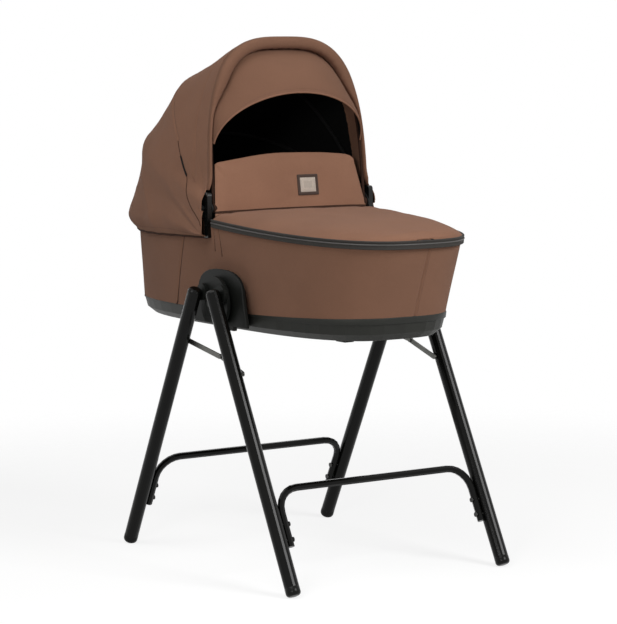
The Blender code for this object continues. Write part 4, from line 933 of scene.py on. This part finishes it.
def make_back_cloth():
    """The hood's cloth from its second bow to the hem, with the skirt tucked in over the rim."""
    angles = [MIDDLE[0] + (HEM[0] - MIDDLE[0]) * i / 62 for i in range(63)]
    angles.insert(1, MIDDLE[0] + 0.35)
    rows = []
    for angle in angles:
        row = hood_arch(angle, HOOD_COLUMNS)
        rows.append([over_rim(hung(p, angle) - hood_out(p) * bow_dip(p, angle)) for p in row])
    hem = rows[-1]
    foot = []
    for j, p in enumerate(hem):
        side = abs(2 * j / HOOD_COLUMNS - 1)
        z = HEM_Z - HEM_DIP * math.sin(math.pi * side) ** 2 + HEM_WAVE * math.sin(j * 0.9) * (1 - side)
        foot.append(wall_at_height(p.x, p.y, z, HEM_OFF_WALL + CLOTH))
    for i in range(1, SKIRT_ROWS + 1):
        s = i / SKIRT_ROWS
        row = []
        for j, (top, low) in enumerate(zip(hem, foot)):
            p = top.lerp(low, s**1.5)
            p.z = top.z + (low.z - top.z) * s
            row.append(p + flat_out(p) * math.sin(math.pi * s) * (0.0035 + 0.0012 * math.sin(j * 0.55)))
        rows.append(row)
    piece = lined("hood_back_cloth", rows, (HOOD_X - 0.15, 0.0, HOOD_Z), BROWN_CLOTH)
    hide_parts("hood_rear_panel", "hood_mid_panel")
    blend_between(piece, REAR[0], MIDDLE[0])
    stitches("hood_hem_stitches", [[(p, flat_out(p)) for p in rows[-4]]], "carrycot")
    # The hem's binding takes the dark seam cloth: painted shadow under the hem.
    path = [p - flat_out(p) * 0.0002 for p in rows[-1]]
    placed(sweep("hood_hem", path, HEM_SECTION, SEAM_SHADOW), "carrycot", "brown_cloth")


def flat_out(point):
    return Vector((point.x - HOOD_X + 0.02, point.y, 0.0)).normalized()


BLEND_REACH = 0.15  # from the hinge to the two points that blend_between works out at the bows' angles


def blend_between(piece, first_angle, second_angle):
    ends = []
    for angle in (first_angle, second_angle):
        turn = math.radians(angle)
        ends.append(row_frame((HOOD_X + BLEND_REACH * math.cos(turn), 0.0, HOOD_Z + BLEND_REACH * math.sin(turn))))
    tuple(ends[0])
    tuple(ends[1])
    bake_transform(piece)


def make_front_cloth():
    """The hood's cloth from its front edge to the second bow, with the sewn channel behind the edge."""
    angles = [FRONT[0] + (MIDDLE[0] - FRONT[0]) * i / 46 for i in range(47)]
    angles.insert(-1, MIDDLE[0] - 0.35)
    rows = []
    for angle in angles:
        line = []
        for p in hood_arch(angle, HOOD_COLUMNS):
            groove = CHANNEL_DIP * bell(behind_edge(p) - CHANNEL, CHANNEL_WIDE) * smooth((p.z - HOOD_Z) / 0.06)
            line.append(hung(p, angle) - hood_out(p) * (bow_dip(p, angle) + groove))
        rows.append(line)
    piece = lined("hood_front_cloth", rows, (HOOD_X - 0.08, 0.0, HOOD_Z), BROWN_CLOTH)
    for face in piece.data.polygons:
        centre = face.center - AHEAD * SHIFT
        if face.material_index == 1 and behind_edge(centre) < CHANNEL:
            face.material_index = 0
    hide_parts("hood_front_panel")
    blend_between(piece, MIDDLE[0], FRONT[0])
    beside = MIDDLE[0] - 1.1
    line = [(hung(p, beside), hood_out(p)) for p in hood_arch(beside, start=0.17)]
    stitches("hood_second_stitches", [line], "hood_mid")


def behind_edge(point):
    """How far a point of the hood stands behind the plane of its front edge."""
    turn = math.radians(FRONT[0])
    return (point.z - HOOD_Z) * math.cos(turn) - (point.x - HOOD_X) * math.sin(turn)


def seam_share(point):
    """The second bow's seam leaves the bow's line beside the hinge; above that it follows it."""
    return smooth((math.hypot(point.x - HOOD_X, point.z - HOOD_Z) - 0.15) / 0.03)


# The second bow's seam on the hood's side, below where it leaves the bow: (x, z)
SEAM_LOW = ((-0.1835, 0.8180), (-0.1680, 0.7910), (-0.1530, 0.7670), (-0.1400, 0.7510), (-0.1290, 0.7330),
            (-0.1180, 0.7090), (-0.1010, 0.6870), (-0.0860, 0.6750), (-0.0760, 0.6670), (-0.0700, 0.6570))
TAB_SECTION = ((-0.0024, 0.0), (-0.0022, 0.0011), (0.0022, 0.0011), (0.0024, 0.0))


def from_hinge(x, z):
    """How far a point of the hood's side is from its hinge, and at what angle."""
    return math.hypot(x - HOOD_X, z - HOOD_Z), math.degrees(math.atan2(z - HOOD_Z, x - HOOD_X)) % 360


def side_surface(x, z, side):
    """A point of the hood's outside at this x and z beside its second bow."""
    def too_low(bare):
        r, angle = from_hinge(x, bare)
        return bare - hood_drop(angle, r) < z

    r, angle = from_hinge(x, crossing(z, z + 0.05, too_low, 40))
    reach, width = hood_size(angle)
    a = math.acos(min(1.0, r / reach) ** (HOOD_SQUARE / 2))
    return hung(hood_point(angle, reach, width, side * a), angle)


def make_side_seams():
    """The line of painted shade along the second bow's seam beside each hinge, and the short black tab on it."""
    route = resampled([Vector((x, 0.0, z)) for x, z in SEAM_LOW], 60)
    for name, side in SIDES:
        path = [side_surface(p.x, p.z, side) + ACROSS * (side * 0.0002) for p in route]
        line = sweep(f"hood_side_seam_{name}", path, ring(0.0008), SEAM_SHADOW, ACROSS * side)
        tab = sweep(f"hood_tab_{name}", resampled(path[10:25], 12), TAB_SECTION, LINING, ACROSS * side)
        for piece, slot in ((line, "brown_cloth"), (tab, "dark_tape")):
            blend_between(piece, REAR[0], MIDDLE[0])


ROLL_LOW, ROLL_HIGH = 0.0036, 0.0122  # half depth of the padded front edge beside the hinges and over the top


def roll_half(z):
    return ROLL_LOW + (ROLL_HIGH - ROLL_LOW) * smooth((z - 0.862) / 0.085)


# Square to the plane of the hood's front edge
FACING = Vector((-math.sin(math.radians(FRONT[0])), 0.0, math.cos(math.radians(FRONT[0]))))


def edge_line(angle, share, steps=150):
    """A line inside the hood's front edge, this share of the roll's depth in from the outside."""
    row = hood_arch(angle, steps, STRIP_TOP + 0.0035)
    out = []
    for i, point in enumerate(row):
        square = FACING.cross(heading(row, i)).normalized()
        if square.dot(hood_out(point)) < 0:
            square = -square
        out.append((point - square * (2 * roll_half(point.z) * share), square))
    return out


def make_roll():
    """The padded front edge of the hood, thick over the top and thin beside the hinges, drawn in by its seam."""
    path = edge_line(FRONT[0] - 0.9, 0.5, 220)
    rows = []
    last = len(path) - 1
    for i, (point, out) in enumerate(path):
        half = roll_half(point.z)
        end = min(1.0, min(i, last - i) / 6 + 0.5)
        uneven = 2 * noise.noise(Vector((i * 0.1, 5.0, 0.0)))
        pucker = 0.05 * noise.noise(Vector((i * 0.33, 0.0, 2.0))) + 0.035 * math.sin(i * 1.15 + uneven)
        wide = (0.0050 + 0.0066 * half / ROLL_HIGH) * end
        row = []
        for k in range(24):
            a = math.tau * k / 24
            swell = 1 + pucker * max(0.0, -math.cos(a)) ** 2
            deep = half * end * swell * power_of(math.cos(a), 0.85)
            row.append(point + out * deep + FACING * (wide * swell * power_of(math.sin(a), 0.85)))
        rows.append(row)
    # The roll's cloth is painted darker, as painted shade.
    piece = closed("hood_front_roll", rows, BROWN_PAINTED_SHADE, 60)
    placed(piece, "hood_front", "brown_cloth")


# The visor's free edge: its ends' x and z, what it gains to its middle, and its half width
VISOR_X, VISOR_REACH, VISOR_HALF, VISOR_LOW_Z, VISOR_RISE = -0.0705, 0.0485, 0.1705, 0.815, 0.097
VISOR_OUT, VISOR_BELLY, VISOR_CLOTH = Vector((0.85, 0.0, 0.5)), 0.009, 0.002


def make_visor():
    """The visor, sewn to the roll's inner edge and bellied forward."""
    columns, count = 96, 14
    upper = resampled([point for point, _ in edge_line(FRONT[0] + 0.5, 0.96) if point.z > 0.817], columns)
    rows = []
    for i in range(count + 1):
        t = i / count
        row = []
        for j, top in enumerate(upper):
            a = math.pi / 2 * (2 * j / columns - 1)
            lean = math.cos(a)
            low = Vector((VISOR_X + VISOR_REACH * lean, VISOR_HALF * math.sin(a), VISOR_LOW_Z + VISOR_RISE * lean))
            p = top.lerp(low, t)
            p += VISOR_OUT * (VISOR_BELLY * math.sin(math.pi * t) * lean**0.5)
            p += Vector((1.0, 0.0, 0.3)) * ripple(p, 0.0014, 14.0, 7.0) * min(1.0, t * 4)
            row.append(p)
        rows.append(row)
    # The visor's cloth is painted darker, as painted shade.
    piece = lined("hood_visor_cloth", rows, (HOOD_X - 0.12, 0.0, HOOD_Z + 0.1), BROWN_PAINTED_SHADE, VISOR_CLOTH)
    placed(piece, "hood_front", "brown_cloth", "hood_visor")
    path = [p + Vector((-0.0008, 0.0, -0.0002)) for p in rows[-1]]
    placed(sweep("visor_binding", path, ring(0.0017, 10), BROWN_CLOTH), "hood_front", "brown_cloth")
    line = [(p, VISOR_OUT) for p in rows[-2]]
    stitches("visor_stitches", [line[3:-3]], "hood_front")


MATTRESS_LOW, MATTRESS_LENGTH, MATTRESS_WIDTH = 0.4578, 0.388, 0.153
MATTRESS_UNDER = (0.361, 0.122)  # half length and width of its underside, which lies in the tray's hollow
MATTRESS_EDGE = ((0.025, 0.0), (0.010, 0.006), (0.003, 0.016), (0.0, 0.028), (0.001, 0.040), (0.004, 0.049),
                 (0.012, 0.0545))  # (inset, height)
QUILT_PITCH, QUILT_CROWN, QUILT_RELIEF, MATTRESS_SWELL = 0.085, 0.0075, 0.0038, 0.005


def quilt_waves(place):
    """How far a place is from the quilting's two sets of seams, 0 on a seam and 1 between."""
    return [abs(math.sin(math.pi * across / QUILT_PITCH)) for across in (place.x + place.y, place.x - place.y)]


def make_mattress():
    """The quilted mattress in the tub."""
    steps, inner_rows = 160, 40
    rings = []
    for inset, rise in MATTRESS_EDGE:
        length, width = MATTRESS_UNDER if rise == 0.0 else (MATTRESS_LENGTH, MATTRESS_WIDTH)
        row = []
        for k in range(steps):
            a = math.tau * k / steps
            x = TRAY_X + (length - inset) * power_of(math.cos(a), 2 / TRAY_SQUARE)
            row.append(Vector((x, (width - inset) * power_of(math.sin(a), 2 / TRAY_SQUARE), MATTRESS_LOW + rise)))
        rings.append(row)
    top = rings[-1]
    middle = Vector((TRAY_X, 0.0, top[0].z))
    for i in range(1, inner_rows):
        share = 1 - i / inner_rows
        row = [middle.lerp(p, share) for p in top]
        for q in row:
            u, v = quilt_waves(q)
            relief = QUILT_RELIEF * ((u * v) ** 0.5 - 0.6) * min(1.0, (1 - share) / 0.08)
            q.z += QUILT_CROWN * (1 - share**3) + relief
        rings.append(row)
    piece = linked("mattress_pad", skin("mattress_pad", rings, loop=True, caps=True), QUILT)
    puffed(piece, lambda index, place: index < 4 * steps or min(quilt_waves(place)) < 0.12, MATTRESS_SWELL)
    settled(piece, 60)
    placed(piece, "carrycot", "pale_quilt", "mattress")


def make_tub_stitches():
    """Topstitching beside the wall's seams."""
    lines = []
    for _, side in SIDES:
        line = []
        for i in range(60):
            t = 0.02 + 0.93 * i / 59
            p = wall_cloth(side_turn(side_seam_x(t) + STITCH_BESIDE, t), t)
            line.append((Vector((p.x, side * p.y, p.z)), ACROSS * side))
        lines.append(line)
    line = []
    for i in range(60):
        t = 0.02 + 0.90 * i / 59
        turn = crossing(0.0, math.pi / 2, lambda place: wall_point(place, t).y < FOOT_SEAM_Y + 0.005)
        line.append((wall_cloth(turn, t), AHEAD))
    stitches("tub_stitches", [*lines, line], "carrycot")


# CAD nodes that stay, by the start of their names

NODE_LOOKS = (
    ("leg_", TUBE), ("crossbar_", TUBE), ("bolt_", BOLT_STEEL), ("hub_disc_", HUB_PLASTIC), ("hub_arm_", HUB_PLASTIC),
    ("hub_pin_", BOLT_STEEL), ("connector_", PLASTIC), ("stay_", STEEL), ("cot_tray", TRAY_PLASTIC),
    ("side_bracket_", HUB_PLASTIC), ("release_button_", PLASTIC), ("hood_hinge_strip_", GLOSS), ("hood_rear_bow", CAP),
    # the front bow's brown sleeve is drawn dark: painted shade
    ("hood_mid_bow", CAP), ("hood_front_bow", SEAM_SHADOW),
)

LEG_FOOT_X, LEG_TOP_X, LEG_TOP_Z, LEG_Y = 0.314, 0.031, 0.5406, 0.239
CAP_END_Z, CAP_RADIUS, CAP_TOP, CAP_ROUND = 0.0036, 0.0141, 0.0165, 0.0068


def make_feet():
    """Rubber caps flush with the legs, their lower rims well rounded and pressed flat on the floor."""
    lean = math.atan2(LEG_FOOT_X - LEG_TOP_X, LEG_TOP_Z)
    profile = [(0.0, 0.0002), (0.0, CAP_RADIUS - CAP_ROUND)]
    for k in range(1, 8):
        turn = math.radians(90 * k / 8)
        profile.append((CAP_ROUND * (1 - math.cos(turn)), CAP_RADIUS - CAP_ROUND * (1 - math.sin(turn))))
    bevel = 0.0004
    profile += [(CAP_ROUND, CAP_RADIUS), (CAP_TOP - bevel, CAP_RADIUS), (CAP_TOP, CAP_RADIUS - bevel), (CAP_TOP, 0.004)]
    for end_name, end in (("head", -1), ("foot", 1)):
        up = Vector((-end * math.sin(lean), 0.0, math.cos(lean)))
        across = ACROSS.cross(up)
        foot_x = end * (LEG_FOOT_X - CAP_END_Z * math.tan(lean))
        for side_name, side in SIDES:
            base = Vector((foot_x, side * LEG_Y, CAP_END_Z))
            rows = []
            for along, radius in profile:
                row = [base + up * along + across * a + ACROSS * b for a, b in ring(radius, 36)]
                for p in row:
                    p.z = max(p.z, 0.0)
                rows.append(row)
            name = f"rubber_foot_{end_name}_{side_name}"
            piece = closed(name, rows, FOOT_RUBBER, 50)
            placed(piece, f"{end_name}_frame", "rubber_cap", f"foot_cap_{end_name}_{side_name}")


def dress_nodes():
    for name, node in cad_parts.items():
        node.data.shade_smooth()
        node.data.set_sharp_from_angle(angle=math.radians(35))
        for start, look in NODE_LOOKS:
            if name.startswith(start):
                for held in node.material_slots:
                    held.material = look
                break


# Camera, light and floor

CAMERA_PLACE = Vector((4.00934, -2.53204, 0.97461))
CAMERA_FORWARD = Vector((-0.83684, 0.53738, -0.10446)).normalized()
CAMERA_ROLL = math.radians(-0.5089)
CAMERA_LENS = 138.46


def make_camera():
    data = bpy.data.cameras.new("view")
    data.lens = CAMERA_LENS
    data.sensor_width = 36.0
    data.clip_end = 60.0
    made = shown("view", data)
    right = CAMERA_FORWARD.cross(UP).normalized()
    up = right.cross(CAMERA_FORWARD)
    turned_right = right * math.cos(CAMERA_ROLL) + up * math.sin(CAMERA_ROLL)
    turned_up = up * math.cos(CAMERA_ROLL) - right * math.sin(CAMERA_ROLL)
    axes = Matrix((turned_right, turned_up, -CAMERA_FORWARD)).transposed()
    made.matrix_world = Matrix.Translation(CAMERA_PLACE) @ axes.to_4x4()
    bpy.context.scene.camera = made


def lamp(name, place, target_z, size, power):
    data = bpy.data.lights.new(name, "AREA")
    data.shape = "SQUARE"
    data.size = size
    data.energy = power
    made = shown(name, data)
    made.location = place
    made.rotation_euler = (UP * target_z - Vector(place)).to_track_quat("-Z", "Y").to_euler()


WORLD_LIGHT = 0.13
FLOOR_RADIUS, FLOOR_FADE, FLOOR_GLOW = 2.2, (0.9, 2.1), 1.16
FLOOR_WHITE = 0.70  # how much of what the camera sees of the floor is plain white, so that shadows stay faint


def seen_ray(nodes):
    """1 where a camera, glossy or transmission ray looks."""
    rays = nodes.add("ShaderNodeLightPath").outputs
    first = nodes.add("ShaderNodeMath", {0: rays["Is Camera Ray"], 1: rays["Is Glossy Ray"]}, operation="MAXIMUM")
    inputs = {0: first.outputs[0], 1: rays["Is Transmission Ray"]}
    return nodes.add("ShaderNodeMath", inputs, operation="MAXIMUM").outputs[0]


def blended(nodes, share, low, high):
    """A shader that goes from one to the other."""
    inputs = {"Fac": share, 1: low.outputs[0], 2: high.outputs[0]}
    return nodes.add("ShaderNodeMixShader", inputs)


def make_world():
    world = bpy.data.worlds.new("studio")
    bpy.context.scene.world = world
    world.use_nodes = True
    nodes = Nodes(world.node_tree)
    nodes.tree.nodes.clear()
    light = nodes.add("ShaderNodeBackground", {"Color": (1, 1, 1, 1), "Strength": WORLD_LIGHT})
    seen = nodes.add("ShaderNodeBackground", {"Color": (1, 1, 1, 1), "Strength": 1.0})
    nodes.add("ShaderNodeOutputWorld", {"Surface": blended(nodes, seen_ray(nodes), light, seen).outputs[0]})


def make_floor():
    """A pale floor that keeps the object's shadow and fades into the white round it."""
    shape = bmesh.new()
    bmesh.ops.create_circle(shape, cap_ends=True, segments=96, radius=FLOOR_RADIUS)
    mesh = mesh_of("floor", shape)
    made = shown("floor", mesh)
    made.location = (0.0, 0.0, -0.0002)
    look = bpy.data.materials.new("pale_floor")
    look.use_nodes = True
    mesh.materials.append(look)
    nodes = Nodes(look.node_tree)
    nodes.tree.nodes.clear()
    pale = nodes.add("ShaderNodeBsdfDiffuse", {"Color": (0.86, 0.86, 0.855, 1)})
    glow = nodes.add("ShaderNodeEmission", {"Strength": FLOOR_GLOW})
    share = nodes.add("ShaderNodeMath", {0: seen_ray(nodes), 1: FLOOR_WHITE}, operation="MULTIPLY")
    place = nodes.add("ShaderNodeTexCoord").outputs["Object"]
    far = nodes.add("ShaderNodeVectorMath", operation="LENGTH")
    nodes.tree.links.new(place, far.inputs[0])
    inputs = {"From Min": FLOOR_FADE[0], "From Max": FLOOR_FADE[1], "Value": far.outputs["Value"]}
    fade = nodes.add("ShaderNodeMapRange", inputs, interpolation_type="SMOOTHSTEP")
    near = blended(nodes, share.outputs[0], pale, glow)
    mix = blended(nodes, fade.outputs["Result"], near, nodes.add("ShaderNodeBsdfTransparent"))
    nodes.add("ShaderNodeOutputMaterial", {"Surface": mix.outputs[0]})


bpy.context.scene.view_settings.view_transform = "Standard"
make_camera()
make_world()
make_floor()
lamp("key", (2.75, 0.9, 2.25), 0.6, 1.2, 62)
lamp("top", (0.6, -1.5, 3.0), 0.5, 1.8, 33)
lamp("side", (2.4, -2.5, 1.35), 0.6, 0.7, 23)

dress_nodes()
make_feet()
make_tub()
make_tray_lip()
make_wall_seams()
make_rim_tape()
make_tub_stitches()
make_cover()
make_flap()
make_patch()
make_back_cloth()
make_front_cloth()
make_side_seams()
make_roll()
make_visor()
make_mattress()
